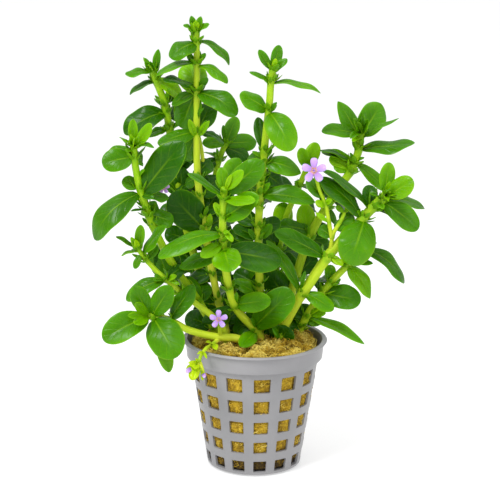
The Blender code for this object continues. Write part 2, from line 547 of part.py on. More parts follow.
def tube(points, radii, sides=6):
    """A bmesh tube in mm through the points, tapered and capped."""
    curve = bpy.data.curves.new("tube", "CURVE")
    curve.dimensions = "3D"
    curve.bevel_depth = 1.0
    curve.bevel_resolution = (sides - 4) // 2
    curve.use_fill_caps = True
    spline = curve.splines.new("POLY")
    spline.points.add(len(points) - 1)
    for k, point in enumerate(points):
        share = k / (len(points) - 1)
        spline.points[k].co = (*point, 1)
        spline.points[k].radius = radii[0] + (radii[1] - radii[0]) * share
    holder = bpy.data.objects.new("tube", curve)
    bpy.context.scene.collection.objects.link(holder)
    evaluated = holder.evaluated_get(bpy.context.evaluated_depsgraph_get())
    mesh = bpy.data.meshes.new_from_object(evaluated)
    bm = bmesh.new()
    bm.from_mesh(mesh)
    bmesh.ops.remove_doubles(bm, verts=bm.verts, dist=0.001)
    bmesh.ops.recalc_face_normals(bm, faces=bm.faces)
    bpy.data.objects.remove(holder)
    bpy.data.curves.remove(curve)
    bpy.data.meshes.remove(mesh)
    return bm


def blade(base, tip, leaf, rings):
    """A bmesh leaf blade in mm: a flat upper face, and a keel under its midrib."""
    lift = math.radians(leaf.lift)
    face = Vector((0, -math.cos(lift), math.sin(lift)))
    along = (tip - base).normalized()
    face = (face - face.dot(along) * along).normalized()
    side = face.cross(along)
    thick = min(LEAF_THICK, NARROW_LEAF_THICK * leaf.width)
    bm = bmesh.new()
    bmesh.ops.create_uvsphere(bm, u_segments=3, v_segments=rings, radius=1)
    for vert in bm.verts:
        step = 1 - math.acos(max(-1, min(1, vert.co.z))) / math.pi
        share = 1 - (1 - step) ** 1.4
        corner = 0.0
        keel = 0.0
        if vert.co.xy.length > 0.01:
            corner = round(math.atan2(vert.co.y, vert.co.x) * 1.5 / math.pi)
            keel = thick if corner == 0 else 0.0
        width = leaf.width / 2 * half_width(share) * corner
        depth = leaf.bow * 4 * share * (1 - share) - keel
        vert.co = base + (tip - base) * share + side * width + face * depth
    return bm


def build_pot(shop):
    """The net pot: a pierced sheet bent round and thickened inward."""
    rows = []
    centre = TOP_ROW_HEIGHT
    for k in range(HOLE_ROWS):
        tall = HOLE_TALL * HOLE_SHRINK ** k
        rows += [centre + tall / 2, centre - tall / 2]
        centre -= ROW_PITCH * PITCH_SHRINK ** k
    rim_under = POT_HEIGHT - WALL
    band_foot = rim_under - BAND_DEPTH
    profile = [(0, 0), (SLOT_INNER, 0), (SLOT_OUTER, 0), (BASE_RADIUS - FOOT_EDGE, 0),
               (BASE_RADIUS, FOOT_EDGE)]
    first_hole = len(profile)
    profile += [(WALL_FOOT_RADIUS + WALL_FLARE * z, z) for z in reversed(rows)]
    profile += [(WALL_FOOT_RADIUS + WALL_FLARE * band_foot, band_foot),
                (BAND_RADIUS - 0.5, band_foot + BAND_SLOPE), (BAND_RADIUS, rim_under - 0.2),
                (RIM_RADIUS, rim_under)]
    columns = 2 * HOLE_COLUMNS
    bm = bmesh.new()
    bmesh.ops.create_grid(bm, x_segments=columns, y_segments=len(profile) - 1, size=0.5)
    places = {}
    for vert in bm.verts:
        column = round((vert.co.x + 0.5) * columns)
        places[vert] = (column, round((vert.co.y + 0.5) * (len(profile) - 1)))
    holes = []
    for face in bm.faces:
        column = min(places[v][0] for v in face.verts)
        station = min(places[v][1] for v in face.verts)
        row = station - first_hole
        in_wall = row % 2 == 0 and 0 <= row < 2 * HOLE_ROWS
        if column % 2 == 0 and (in_wall or station == 1):
            holes.append(face)
    pitch = math.tau / HOLE_COLUMNS
    for vert, (column, station) in places.items():
        azimuth = FIRST_COLUMN + pitch * (column // 2)
        azimuth += pitch * HOLE_SHARE * (0.5 if column % 2 else -0.5)
        radius, height = profile[station]
        vert.co = (radius * math.sin(azimuth), -radius * math.cos(azimuth), height)
    bmesh.ops.delete(bm, geom=holes, context="FACES_ONLY")
    bmesh.ops.remove_doubles(bm, verts=bm.verts, dist=0.001)
    pot = shop.add("net_pot", bm, "grey_plastic")
    shell = pot.modifiers.new("wall", "SOLIDIFY")
    shell.thickness = WALL * MM
    shell.offset = -1
    shell.use_even_offset = True


def wool_profile():
    """The wool's outline as (radius, height), from the middle below to the top."""
    def inside(height):
        return WALL_FOOT_RADIUS + WALL_FLARE * height - WALL - WOOL_CLEAR

    brim = BAND_RADIUS - WALL - WOOL_CLEAR
    return [(0, WOOL_FOOT), (12.5, WOOL_FOOT), (inside(4) - 1, 4), (inside(16), 16),
            (inside(29), 29), (inside(42), 42.8), (brim - 0.4, WOOL_TOP - 2.4),
            (brim - 1.6, WOOL_TOP - 1), (17.5, WOOL_TOP - 0.4), (9, WOOL_TOP),
            (0, WOOL_TOP)]


def build_wool(shop, feet):
    """The lump of rock wool, with a socket round the foot of every stem."""
    profile = wool_profile()
    bm = bmesh.new()
    bmesh.ops.create_uvsphere(bm, u_segments=18, v_segments=len(profile) - 1, radius=1)
    for vert in bm.verts:
        polar = math.acos(max(-1, min(1, -vert.co.z)))
        radius, height = profile[round(polar / math.pi * (len(profile) - 1))]
        around = vert.co.xy.normalized() if radius > 0 else Vector((0, 0))
        spot = Vector((around.x * radius, around.y * radius, height))
        lump = noise.noise(spot / LUMP_SPAN) * WOOL_LUMP
        if height > WOOL_TOP - LUMPY_TOP:
            height += lump * 1.5
        if radius > 0:
            radius -= abs(lump) * 0.6
        vert.co = (around.x * radius, around.y * radius, height)
    wool = shop.add("rock_wool", bm, "rock_wool")
    sockets = shop.group("sockets")
    for name, points, radius in feet:
        deeper = points[0] + (points[0] - points[1]).normalized() * GAP * 1.5
        clear = (radius + GAP * 1.3) * math.sqrt(2)
        shop.add("socket_" + name, tube([deeper, points[1]], (clear, clear), 4), "rock_wool",
                 sockets)
    cut = wool.modifiers.new("sockets", "BOOLEAN")
    cut.operation = "DIFFERENCE"
    cut.operand_type = "COLLECTION"
    cut.collection = sockets


def root_of(leaf, tip, way, points, radii, lean, clear):
    """Where a leaf starts: by its stem's surface, on the side its tip is on."""
    sighted = placed(min(way, key=lambda place: (place.xy - Vector(leaf.at)).length), lean)
    best = None
    for k, (a, b) in enumerate(zip(points, points[1:])):
        t = max(0.0, min(1.0, (sighted - a).dot(b - a) / (b - a).length_squared))
        node = a + (b - a) * t
        if best is None or (node - sighted).length < best[0]:
            best = ((node - sighted).length, node, (b - a).normalized(),
                    (k + t) / (len(points) - 1))
    node, along, share = best[1:]
    radius = radii[0] + (radii[1] - radii[0]) * share
    out = tip - node
    out = (out - out.dot(along) * along).normalized()
    return node + out * (radius + clear if clear > 0 else radius * ROOT_SINK)


def build_shoot(shop, shoot):
    """A stem with its twigs and small leaves grown on, and its large leaves."""
    way = smooth_way(shoot.stem)
    points = even_points(way, STEM_STEP, shoot.lean)
    stem = shop.add("shoot_" + shoot.name, tube(points, shoot.radii), "stem")
    growths = shop.group("growths_" + shoot.name)
    axes = [(way, points, shoot.radii)]
    for k, twig in enumerate(shoot.twigs):
        twig_way = smooth_way(twig)
        twig_points = even_points(twig_way, TWIG_STEP, shoot.lean)
        shop.add(f"twig_{shoot.name}_{k + 1}", tube(twig_points, TWIG_RADII, 4), "stem",
                 growths)
        axes.append((twig_way, twig_points, TWIG_RADII))
    own = 0
    for k, leaf in enumerate(shoot.leaves):
        axis = min(axes, key=lambda a: min((p.xy - Vector(leaf.at)).length for p in a[0]))
        tip = placed(leaf.tip, shoot.lean)
        root = root_of(leaf, tip, *axis, shoot.lean, GAP * 1.5 if leaf.own else 0)
        if leaf.own:
            own += 1
            bm = blade(root, tip, leaf, LEAF_RINGS)
            shop.add(f"leaf_{shoot.name}_{own}", bm, "leaf_" + leaf.tone)
        else:
            rings = min(SMALL_RINGS, 2 + int((tip - root).length / RING_SPAN))
            bm = blade(root, tip, leaf, rings)
            shop.add(f"growth_{shoot.name}_{k + 1}", bm, "leaf_" + leaf.tone, growths)
    union = stem.modifiers.new("growths", "BOOLEAN")
    union.operation = "UNION"
    union.operand_type = "COLLECTION"
    union.collection = growths
    return shoot.name, points, shoot.radii[0]


def build_flower(shop, name, centre, size):
    """A corolla of five rounded petals, one thin piece facing the viewer."""
    bm = bmesh.new()
    spokes = 4 * PETALS
    bmesh.ops.create_circle(bm, cap_ends=True, segments=spokes, radius=1)
    toward = (EYE - centre).normalized()
    right = Vector((0, 0, 1)).cross(toward).normalized()
    upward = toward.cross(right)
    for vert in bm.verts:
        angle = math.atan2(vert.co.x, vert.co.y)
        petal = abs(math.cos(angle * PETALS / 2)) ** 0.7
        radius = FLOWER_RADIUS * size * (FLOWER_THROAT + (1 - FLOWER_THROAT) * petal)
        vert.co = (centre + (right * math.sin(angle) + upward * math.cos(angle)) * radius
                   + toward * FLOWER_CUP * petal)
    flower = shop.add(name, bm, "petal")
    sheet = flower.modifiers.new("petal", "SOLIDIFY")
    sheet.thickness = PETAL_THICK * MM
    sheet.offset = 0


def main():
    """Builds the pot, the wool and the plant."""
    shop = Workshop()
    build_pot(shop)
    feet = [build_shoot(shop, shoot) for shoot in SHOOTS]
    build_wool(shop, feet)
    flowers = [(placed(place, shoot.lean), size) for shoot in SHOOTS
               for place, size in shoot.flowers]
    for k, (centre, size) in enumerate(flowers):
        build_flower(shop, f"flower_{k + 1}", centre, size)


main()
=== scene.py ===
"""The visible model of a bacopa growing from rock wool in a small net pot.

The plant is laid out in mm on an upright sheet through the pot's axis, as its
solids are, and MM turns a size into metres where a mesh is made. +Z is up, and
the side that the plant is looked at from is -Y.
"""
import logging
import math
import random
from dataclasses import dataclass, field
from enum import Enum
from typing import Any, Callable, Sequence

import bmesh
import bpy
from mathutils import Matrix, Vector, noise


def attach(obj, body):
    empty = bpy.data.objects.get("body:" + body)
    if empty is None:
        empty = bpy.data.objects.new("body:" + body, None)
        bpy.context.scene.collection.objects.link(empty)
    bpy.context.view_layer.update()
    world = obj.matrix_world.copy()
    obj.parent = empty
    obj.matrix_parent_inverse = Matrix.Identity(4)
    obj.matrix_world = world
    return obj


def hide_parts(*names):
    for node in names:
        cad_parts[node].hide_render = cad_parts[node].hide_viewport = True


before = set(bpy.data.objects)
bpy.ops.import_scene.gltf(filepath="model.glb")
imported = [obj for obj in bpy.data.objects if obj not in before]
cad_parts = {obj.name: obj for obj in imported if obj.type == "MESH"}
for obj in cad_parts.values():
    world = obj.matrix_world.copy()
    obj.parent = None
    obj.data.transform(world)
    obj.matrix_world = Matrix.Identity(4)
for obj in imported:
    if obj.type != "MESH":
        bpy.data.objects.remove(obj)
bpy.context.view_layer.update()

LOG = logging.getLogger("potted_bacopa")
MM = 0.001
WELD = 0.002 * MM
EYE = Vector((-2.1, -606.0, 233.0))
RIM_HEIGHT = 49.5
BODY = "root"
WHITE = (1.0, 1.0, 1.0, 1.0)

Colour = tuple[int, int, int]
Place = tuple[float, float, float]
Sockets = dict[str | int, Any]


def linear(colour: Colour) -> list[float]:
    """A colour in sRGB from 0 to 255 as four linear channels."""
    return [c / 12.92 if c <= 0.04045 else ((c + 0.055) / 1.055) ** 2.4
            for c in (channel / 255 for channel in colour)] + [1.0]


def clamped(number: float) -> float:
    """A number, kept between 0 and 1."""
    return max(0.0, min(1.0, number))


def between(start: Sequence[float], end: Sequence[float], share: float) -> list[float]:
    """The numbers at a share of the way from some to others."""
    return [a + (b - a) * share for a, b in zip(start, end)]


def placed(place: Sequence[float], lean: float = 0.0) -> Vector:
    """The point that a place on the sheet has at its depth.

    Args:
        place: Across, up and depth behind the sheet, in mm.
        lean: Depth added for each mm above the rim.

    Returns:
        The point in mm, on the line of sight through the place.
    """
    across, up, depth = place
    depth += lean * max(0.0, up - RIM_HEIGHT)
    reach = (depth - EYE.y) / -EYE.y
    return Vector((EYE.x + reach * (across - EYE.x), depth, EYE.z + reach * (up - EYE.z)))


def shown(name: str, data: Any) -> bpy.types.Object:
    """An object of that name and data, linked into the scene."""
    item = bpy.data.objects.new(name, data)
    bpy.context.scene.collection.objects.link(item)
    return item


def poured(bm: bmesh.types.BMesh, name: str) -> bpy.types.Mesh:
    """Pours what a BMesh holds into a new mesh, and frees it.

    Args:
        bm: The BMesh.
        name: The mesh's name.

    Returns:
        The mesh.
    """
    mesh = bpy.data.meshes.new(name)
    bm.to_mesh(mesh)
    bm.free()
    return mesh


def carry(mesh: bpy.types.Mesh, kind: str, rows: dict[str, list[float]]) -> None:
    """Stores values on a mesh's points.

    Args:
        mesh: The mesh.
        kind: FLOAT for numbers, or FLOAT_VECTOR.
        rows: The values in a row, by the attribute's name.
    """
    for name, row in rows.items():
        held = mesh.attributes.new(name, kind, "POINT").data
        held.foreach_set("value" if kind == "FLOAT" else "vector", row)


def settled(holder: bpy.types.Object, name: str) -> bpy.types.Mesh:
    """A plain mesh of what an object's modifiers make. The object is removed.

    Args:
        holder: The object.
        name: The new mesh's name.

    Returns:
        The mesh.
    """
    graph = bpy.context.evaluated_depsgraph_get()
    made = bpy.data.meshes.new_from_object(holder.evaluated_get(graph))
    start = holder.data
    bpy.data.objects.remove(holder)
    bpy.data.meshes.remove(start)
    made.name = name
    return made


def piece(name: str, mesh: bpy.types.Mesh, nodes: Sequence[str] = ()) -> None:
    """Puts a finished mesh into the scene as a piece of the object.

    Args:
        name: The piece's name.
        mesh: Its mesh, in metres and in place.
        nodes: The CAD nodes that it replaces.
    """
    item = shown(name, mesh)
    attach(item, BODY)
    if nodes:
        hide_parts(*nodes)
    mesh.calc_loop_triangles()
    LOG.info("%s: %d triangles", name, len(mesh.loop_triangles))


def operator(operation: str, reflected: bool = False) -> Callable[..., "Value"]:
    """A method of Value that adds a Math node.

    Args:
        operation: The node's operation.
        reflected: Whether the other number comes first.

    Returns:
        The method.
    """
    def method(value: "Value", *others: Any) -> "Value":
        """The node's result on the value and any other number."""
        numbers = (*others, value) if reflected else (value, *others)
        return value.graph.value("ShaderNodeMath", dict(enumerate(numbers)),
                                 operation=operation)

    return method


class Value:
    """A number in a node tree. Each of Python's operators on it adds a Math node."""

    __add__ = __radd__ = operator("ADD")
    __sub__ = operator("SUBTRACT")
    __rsub__ = operator("SUBTRACT", reflected=True)
    __mul__ = __rmul__ = operator("MULTIPLY")
    __truediv__ = operator("DIVIDE")
    __pow__ = operator("POWER")
    __abs__ = operator("ABSOLUTE")
    __lt__ = operator("LESS_THAN")
    sine = operator("SINE")
    fraction = operator("FRACT")
    at_least = operator("MAXIMUM")
    at_most = operator("MINIMUM")

    def __init__(self, graph: "Graph", socket: bpy.types.NodeSocket) -> None:
        """Wraps a socket of the graph's tree."""
        self.graph = graph
        self.socket = socket

    def step(self, start: float, end: float) -> "Value":
        """0 before start and 1 after end, with a smooth way between them."""
        return self.graph.value("ShaderNodeMapRange", {"Value": self, "From Min": start,
                                "From Max": end}, "Result", interpolation_type="SMOOTHSTEP")


class Graph:
    """Adds nodes to a tree."""

    def __init__(self, tree: bpy.types.NodeTree) -> None:
        """Wraps a node tree."""
        self.tree = tree

    def node(self, kind: str, sockets: Sockets | None = None, **settings: Any
             ) -> bpy.types.Node:
        """A new node.

        Args:
            kind: The node's type.
            sockets: What each input socket, by name or number, holds or is linked to.
            settings: Its own settings, a ramp's stops among them, which are set first.

        Returns:
            The node.
        """
        node = self.tree.nodes.new(kind)
        for name, setting in settings.items():
            if name == "stops":
                self.set_stops(node.color_ramp, setting)
            else:
                setattr(node, name, setting)
        for key, value in (sockets or {}).items():
            self.feed(self.socket(node.inputs, key), value)
        return node

    def set_stops(self, ramp: bpy.types.ColorRamp, stops: list[tuple[float, Colour]]) -> None:
        """Gives a ramp its stops.

        Args:
            ramp: The ramp.
            stops: The place and the colour of each.
        """
        while len(ramp.elements) < len(stops):
            ramp.elements.new(1.0)
        for element, (place, colour) in zip(ramp.elements, stops):
            element.position = place
            element.color = linear(colour)

    def socket(self, sockets: Any, key: str | int) -> bpy.types.NodeSocket:
        """The socket at a place, or the first one in use with a name."""
        return sockets[key] if isinstance(key, int) else next(
            s for s in sockets if s.name == key and s.enabled)

    def feed(self, socket: bpy.types.NodeSocket, value: Any) -> None:
        """Fills an input socket.

        Args:
            socket: The input.
            value: A value or a socket that it is linked to, or what it is set to.
        """
        if isinstance(value, Value):
            value = value.socket
        if isinstance(value, bpy.types.NodeSocket):
            self.tree.links.new(value, socket)
        else:
            socket.default_value = value

    def made(self, kind: str, sockets: Sockets | None = None, output: str | int = 0,
             **settings: Any) -> bpy.types.NodeSocket:
        """What a new node gives from one of its outputs."""
        return self.socket(self.node(kind, sockets, **settings).outputs, output)

    def value(self, kind: str, sockets: Sockets | None = None, output: str | int = 0,
              **settings: Any) -> Value:
        """The number that a new node gives from one of its outputs."""
        return Value(self, self.made(kind, sockets, output, **settings))

    def combined(self, x: Any, y: Any, z: Any) -> bpy.types.NodeSocket:
        """A vector of three numbers."""
        return self.made("ShaderNodeCombineXYZ", {0: x, 1: y, 2: z})


class Tree(Graph):
    """A Geometry Nodes tree with named inputs."""

    def __init__(self, name: str, **inputs: Any) -> None:
        """Starts a tree.

        Args:
            name: The tree's name.
            inputs: The default of each input but the material. A whole number makes an
                integer socket.
        """
        super().__init__(bpy.data.node_groups.new(name, "GeometryNodeTree"))
        face = self.tree.interface
        face.new_socket("Geometry", in_out="INPUT", socket_type="NodeSocketGeometry")
        for label, default in inputs.items():
            kind = "NodeSocketInt" if isinstance(default, int) else "NodeSocketFloat"
            face.new_socket(label, in_out="INPUT", socket_type=kind).default_value = default
        face.new_socket("Material", in_out="INPUT", socket_type="NodeSocketMaterial")
        face.new_socket("Geometry", in_out="OUTPUT", socket_type="NodeSocketGeometry")
        self.inputs = self.node("NodeGroupInput").outputs

    def given(self, label: str) -> Value:
        """The value of a named input."""
        return Value(self, self.inputs[label])

    def geometry(self, kind: str, sockets: Sockets, output: str | int = 0, **settings: Any
                 ) -> bpy.types.NodeSocket:
        """What a new Geometry node gives, by the last part of its type."""
        return self.made("GeometryNode" + kind, sockets, output, **settings)

    def attribute(self, name: str, kind: str = "FLOAT") -> Value:
        """A named attribute of the geometry."""
        return Value(self, self.geometry("InputNamedAttribute", {"Name": name}, "Attribute",
                                         data_type=kind))

    def stored(self, geometry: Any, name: str, value: Any, kind: str = "FLOAT",
               domain: str = "POINT") -> bpy.types.NodeSocket:
        """Geometry with a value stored on it under a name."""
        return self.geometry("StoreNamedAttribute", {"Geometry": geometry, "Name": name,
                             "Value": value}, data_type=kind, domain=domain)

    def copies(self, points: Any, **sockets: Any) -> bpy.types.NodeSocket:
        """Copies of an instance on points, with the node's other sockets by name."""
        return self.geometry("InstanceOnPoints", {"Points": points, **sockets})

    def finish(self, geometry: Any) -> None:
        """Ends the tree: instances made real, shaded smooth, in the material.

        Args:
            geometry: What the tree has made.
        """
        real = self.geometry("RealizeInstances", {"Geometry": geometry})
        smooth = self.geometry("SetShadeSmooth", {"Geometry": real})
        self.node("NodeGroupOutput", {0: self.geometry(
            "SetMaterial", {"Geometry": smooth, "Material": self.given("Material")})})

    def run(self, mesh: bpy.types.Mesh, name: str, inputs: dict[str, Any],
            kept: Sequence[str] = ()) -> bpy.types.Mesh:
        """Runs the tree on a mesh.

        Args:
            mesh: What the tree starts from. It is removed.
            name: The name of the new mesh.
            inputs: The tree's inputs by name.
            kept: The attributes that the materials read.

        Returns:
            A plain mesh with no modifier behind it.
        """
        holder = shown(name, mesh)
        modifier = holder.modifiers.new("nodes", "NODES")
        modifier.node_group = self.tree
        identifiers = {item.name: item.identifier for item in self.tree.interface.items_tree
                       if item.in_out == "INPUT"}
        for label, value in inputs.items():
            modifier[identifiers[label]] = value
        made = settled(holder, name)
        kept = (*kept, "sharp_face", "material_index")
        for label in [a.name for a in made.attributes
                      if not (a.is_internal or a.is_required or a.name in kept)]:
            made.attributes.remove(made.attributes[label])
        return made


class Look(Graph):
    """A material's node tree round its Principled shader."""

    def __init__(self, name: str) -> None:
        """Starts a material.

        Args:
            name: Its name.
        """
        self.material = bpy.data.materials.new(name)
        self.material.use_nodes = True
        super().__init__(self.material.node_tree)
        self.shader = self.tree.nodes["Principled BSDF"]
        self.place = self.made("ShaderNodeTexCoord", output="Object")

    def constant(self, **sockets: Any) -> None:
        """Sets sockets of the shader, with _ for a blank in their names."""
        for name, value in sockets.items():
            self.shader.inputs[name.replace("_", " ")].default_value = value

    def attribute(self, name: str, output: str = "Fac") -> Value:
        """A number that the mesh carries, or a vector for the output Vector."""
        return self.value("ShaderNodeAttribute", None, output, attribute_name=name)

    def noise(self, scale: float, detail: float = 2.0, where: Any = None,
              rough: float = 0.5) -> Value:
        """Noise from 0 to 1.

        Args:
            scale: Waves in a metre, or in a unit of the vector.
            detail: Its octaves.
            where: The vector that it reads, or None for the place on the object.
            rough: How strong the finer octaves are.

        Returns:
            The noise.
        """
        return self.value("ShaderNodeTexNoise", {"Vector": where or self.place, "Scale": scale,
                          "Detail": detail, "Roughness": rough}, "Fac")

    def ramp(self, share: Any, *stops: tuple[float, Colour]) -> bpy.types.NodeSocket:
        """The colour at a share of the way through some stops."""
        return self.made("ShaderNodeValToRGB", {"Fac": share}, stops=stops)

    def mixed(self, share: Any, base: Any, over: Any) -> bpy.types.NodeSocket:
        """A colour with a share of another over it."""
        base, over = (linear(c) if isinstance(c, tuple) else c for c in (base, over))
        return self.made("ShaderNodeMix", {"Factor": share, "A": base, "B": over}, "Result",
                         data_type="RGBA")

    def finish(self, colour: Any, roughness: Any, height: Any, strength: float,
               depth: float) -> bpy.types.Material:
        """Feeds the shader.

        Args:
            colour: The base colour.
            roughness: The roughness.
            height: The relief, from 0 to 1.
            strength: How strongly the relief shows.
            depth: The relief's depth in mm.

        Returns:
            The finished material.
        """
        bump = self.made("ShaderNodeBump", {"Strength": strength, "Distance": depth * MM,
                                            "Height": height})
        for name, value in (("Base Color", colour), ("Roughness", roughness),
                            ("Normal", bump)):
            self.feed(self.shader.inputs[name], value)
        return self.material


@dataclass(frozen=True)
class LeafFinish:
    """A fleshy leaf: a light midrib, faint side veins, a soft gloss, a paler back, and a tone from dark
    to young whose dark end is partly painted shade.
    """

    # The darkest green: old leaves, and painted shade on leaves deep in the plant.
    dark: Colour = (22, 78, 0)
    mid: Colour = (68, 130, 0)
    young: Colour = (120, 178, 0)
    bud: Colour = (184, 210, 20)
    vein: Colour = (146, 190, 20)
    back: Colour = (104, 158, 12)
    vein_pairs: float = 5.0
    vein_light: float = 0.08
    edge_light: float = 0.42
    cloud_scale: float = 95.0
    cloud_shade: float = 0.6
    fleck_scale: float = 1400.0
    fleck_light: float = 0.12
    back_light: float = 0.55
    gloss: float = 0.24

    def material(self) -> bpy.types.Material:
        """The leaf's material, which reads the blade's own coordinates.

        Returns:
            The material.
        """
        look = Look("leaf")
        across, along, tone, seed, upper = (
            look.attribute(name) for name in ("across", "along", "tone", "seed", "upper"))
        edge = abs(across)
        under = upper < 0.0
        cloud = look.noise(self.cloud_scale, 3.0)
        fleck = look.noise(self.fleck_scale)
        shade = (tone + (cloud - 0.5) * self.cloud_shade + (seed - 0.5) * 0.16
                 + (edge ** 4.0) * 0.16 + (along - 0.5) * 0.12
                 - (1 - edge.step(0.0, 0.5)) * 0.06)
        # Tone runs from dark to young; the dark end is partly painted shade on leaves that lie in shade.
        face = look.ramp(shade / 2.0, (0.0, self.dark), (0.25, self.mid), (0.5, self.young),
                         (0.9, self.bud))
        rib = (1 - edge.step(0.01, 0.1)) * (1 - along.step(0.35, 0.9))
        phase = (along * 1.1 - edge * 0.5 + edge * edge * 0.16) * self.vein_pairs
        line = 1 - abs(phase.fraction() - 0.5).step(0.0, 0.13)
        line = line * (1 - edge.step(0.5, 0.92)) * edge.step(0.04, 0.14)
        light = (rib * (tone * 0.2 + 0.28) + line * self.vein_light
                 + edge.step(0.92, 1.0) * self.edge_light)
        veined = look.mixed(light.at_most(0.5), face, self.vein)
        flecked = look.mixed(fleck * self.fleck_light, veined, self.young)
        colour = look.mixed(under * self.back_light, flecked, self.back)
        roughness = self.gloss + fleck * 0.08 + (cloud - 0.5) * 0.3 + under * 0.16
        relief = 0.6 + cloud * 0.8 - rib * 0.45 - line * 0.4 + fleck * 0.05
        look.constant(Subsurface_Weight=0.1, Subsurface_Scale=1.0 * MM,
                      Subsurface_Radius=(0.5, 1.0, 0.1), Specular_IOR_Level=0.14)
        return look.finish(colour, roughness, relief, 0.5, 0.5)


@dataclass(frozen=True)
class StemFinish:
    """A juicy stem: yellow below, green above, streaked, greener at its knots."""

    old: Colour = (160, 182, 24)
    flesh: Colour = (150, 194, 6)
    top: Colour = (128, 184, 4)
    knot: Colour = (100, 158, 4)
    streak: Colour = (206, 222, 60)
    pale: Colour = (216, 224, 62)
    streak_scale: float = 2.6
    streak_light: float = 0.4
    cloud_scale: float = 120.0
    gloss: float = 0.36

    def material(self) -> bpy.types.Material:
        """The stem's material, which reads how far up and round the stem it is.

        Returns:
            The material.
        """
        look = Look("stem")
        run, bleach, knot = (look.attribute(name) for name in ("run", "pale", "knot"))
        grain = look.noise(self.streak_scale, 3.0, look.attribute("grain", "Vector"))
        cloud = look.noise(self.cloud_scale)
        base = look.ramp(run + (cloud - 0.5) * 0.4, (0.0, self.old), (0.45, self.flesh),
                         (1.0, self.top))
        bleach = bleach * (0.7 + cloud * 0.5) * (1.2 - run * 0.8)
        bleached = look.mixed(bleach.at_most(1.0), base, self.pale)
        streaked = look.mixed(grain.step(0.5, 0.72) * self.streak_light, bleached, self.streak)
        colour = look.mixed((knot * (0.35 + cloud * 0.6)).at_most(0.8), streaked, self.knot)
        look.constant(Subsurface_Weight=0.15, Subsurface_Scale=1.5 * MM,
                      Subsurface_Radius=(0.8, 1.0, 0.15), Specular_IOR_Level=0.15)
        return look.finish(colour, self.gloss + cloud * 0.14, grain, 0.25, 0.3)


@dataclass(frozen=True)
class PlasticFinish:
    """Moulded grey plastic with a fine satin grain and faint scuffs."""

    grey: Colour = (132, 132, 134)
    light: Colour = (146, 145, 147)
    scuff: Colour = (172, 172, 175)
    cloud_scale: float = 45.0
    grain_scale: float = 5200.0
    scuff_scale: float = 520.0
    scuff_stretch: float = 0.16
    gloss: float = 0.28

    def material(self) -> bpy.types.Material:
        """Builds the pot's finish.

        Returns:
            The material.
        """
        look = Look("grey_plastic")
        cloud = look.noise(self.cloud_scale, 3.0)
        grain = look.noise(self.grain_scale)
        drawn = look.made("ShaderNodeMapping", {"Vector": look.place,
                                                "Scale": (1.0, 1.0, self.scuff_stretch)})
        scuff = look.noise(self.scuff_scale, 4.0, drawn, 0.7).step(0.62, 0.78)
        base = look.ramp(cloud, (0.3, self.grey), (0.7, self.light))
        colour = look.mixed(scuff * 0.22, base, self.scuff)
        roughness = self.gloss + cloud * 0.1 + scuff * 0.12 + grain * 0.04
        return look.finish(colour, roughness, grain + scuff * 0.4, 0.12, 0.12)


@dataclass(frozen=True)
class WoolFinish:
    """Loose golden mineral wool with dark patches, and painted shade in its hollows."""

    # The darkest stop: random dark patches, and painted shade in the hollows and near the floor.
    hollow: Colour = (64, 46, 0)
    brown: Colour = (150, 118, 12)
    gold: Colour = (206, 170, 32)
    straw: Colour = (238, 216, 104)
    # Heights in metres over which painted shade fades out above the floor, and painted light on the top
    # clumps fades in.
    foot_shade_zone: tuple[float, float] = (0.004, 0.011)
    lit_zone: tuple[float, float] = (0.041, 0.046)

    def painted_shading(self, look: Look, clump: Value) -> Value:
        """How much darker the wool is: painted shade toward the floor, and on top painted light on the
        raised clumps and painted shade in the gaps between them.

        Args:
            look: The material's tree.
            clump: The noise of its clumps.

        Returns:
            The darkening, which is negative where the wool is lighter.
        """
        height = look.value("ShaderNodeSeparateXYZ", {0: look.place}, "Z")
        raised = clump.step(0.35, 0.6)
        # Painted shade near the floor, where the wool sits deep in the pot.
        foot_shade = (1 - height.step(*self.foot_shade_zone)) * raised
        # On top, painted light on the raised clumps and painted shade in the gaps.
        return foot_shade - height.step(*self.lit_zone) * (raised - 0.4) * 0.8

    def lump(self) -> bpy.types.Material:
        """The material of the lump, clumped and felted.

        Returns:
            The material.
        """
        look = Look("wool_lump")
        clump = look.noise(170.0, 5.0, rough=0.65)
        hair = look.noise(1100.0, 4.0, rough=0.7)
        # Clump and hair noise, darkened by painted shade near the floor and in the top gaps, and
        # lightened by painted light on the top clumps.
        shade = clump * 0.6 + hair * 0.45 - 0.02 - self.painted_shading(look, clump) * 0.3
        colour = look.ramp(shade, (0.3, self.hollow), (0.46, self.brown), (0.58, self.gold),
                           (0.74, self.straw))
        return look.finish(colour, 0.88 + hair * 0.1, clump + hair * 0.6, 0.9, 1.6)

    def fibre(self) -> bpy.types.Material:
        """The material of the loose fibres, each with a tone of its own, lighter on the knobs as painted
        light and darker between them as painted shade.

        Returns:
            The material.
        """
        look = Look("wool_fibre")
        clump = look.noise(150.0, 3.0)
        # Each fibre's own tone, with painted shade near the floor and in the top gaps and painted light
        # on the top clumps.
        shade = look.attribute("shade") - self.painted_shading(look, clump) * 0.5
        colour = look.ramp(shade * 0.9 + clump * 0.5 - 0.2, (0.08, self.hollow),
                           (0.28, self.brown), (0.5, self.gold), (0.8, self.straw))
        return look.finish(colour, 0.7 + clump * 0.2, clump, 0.1, 0.1)


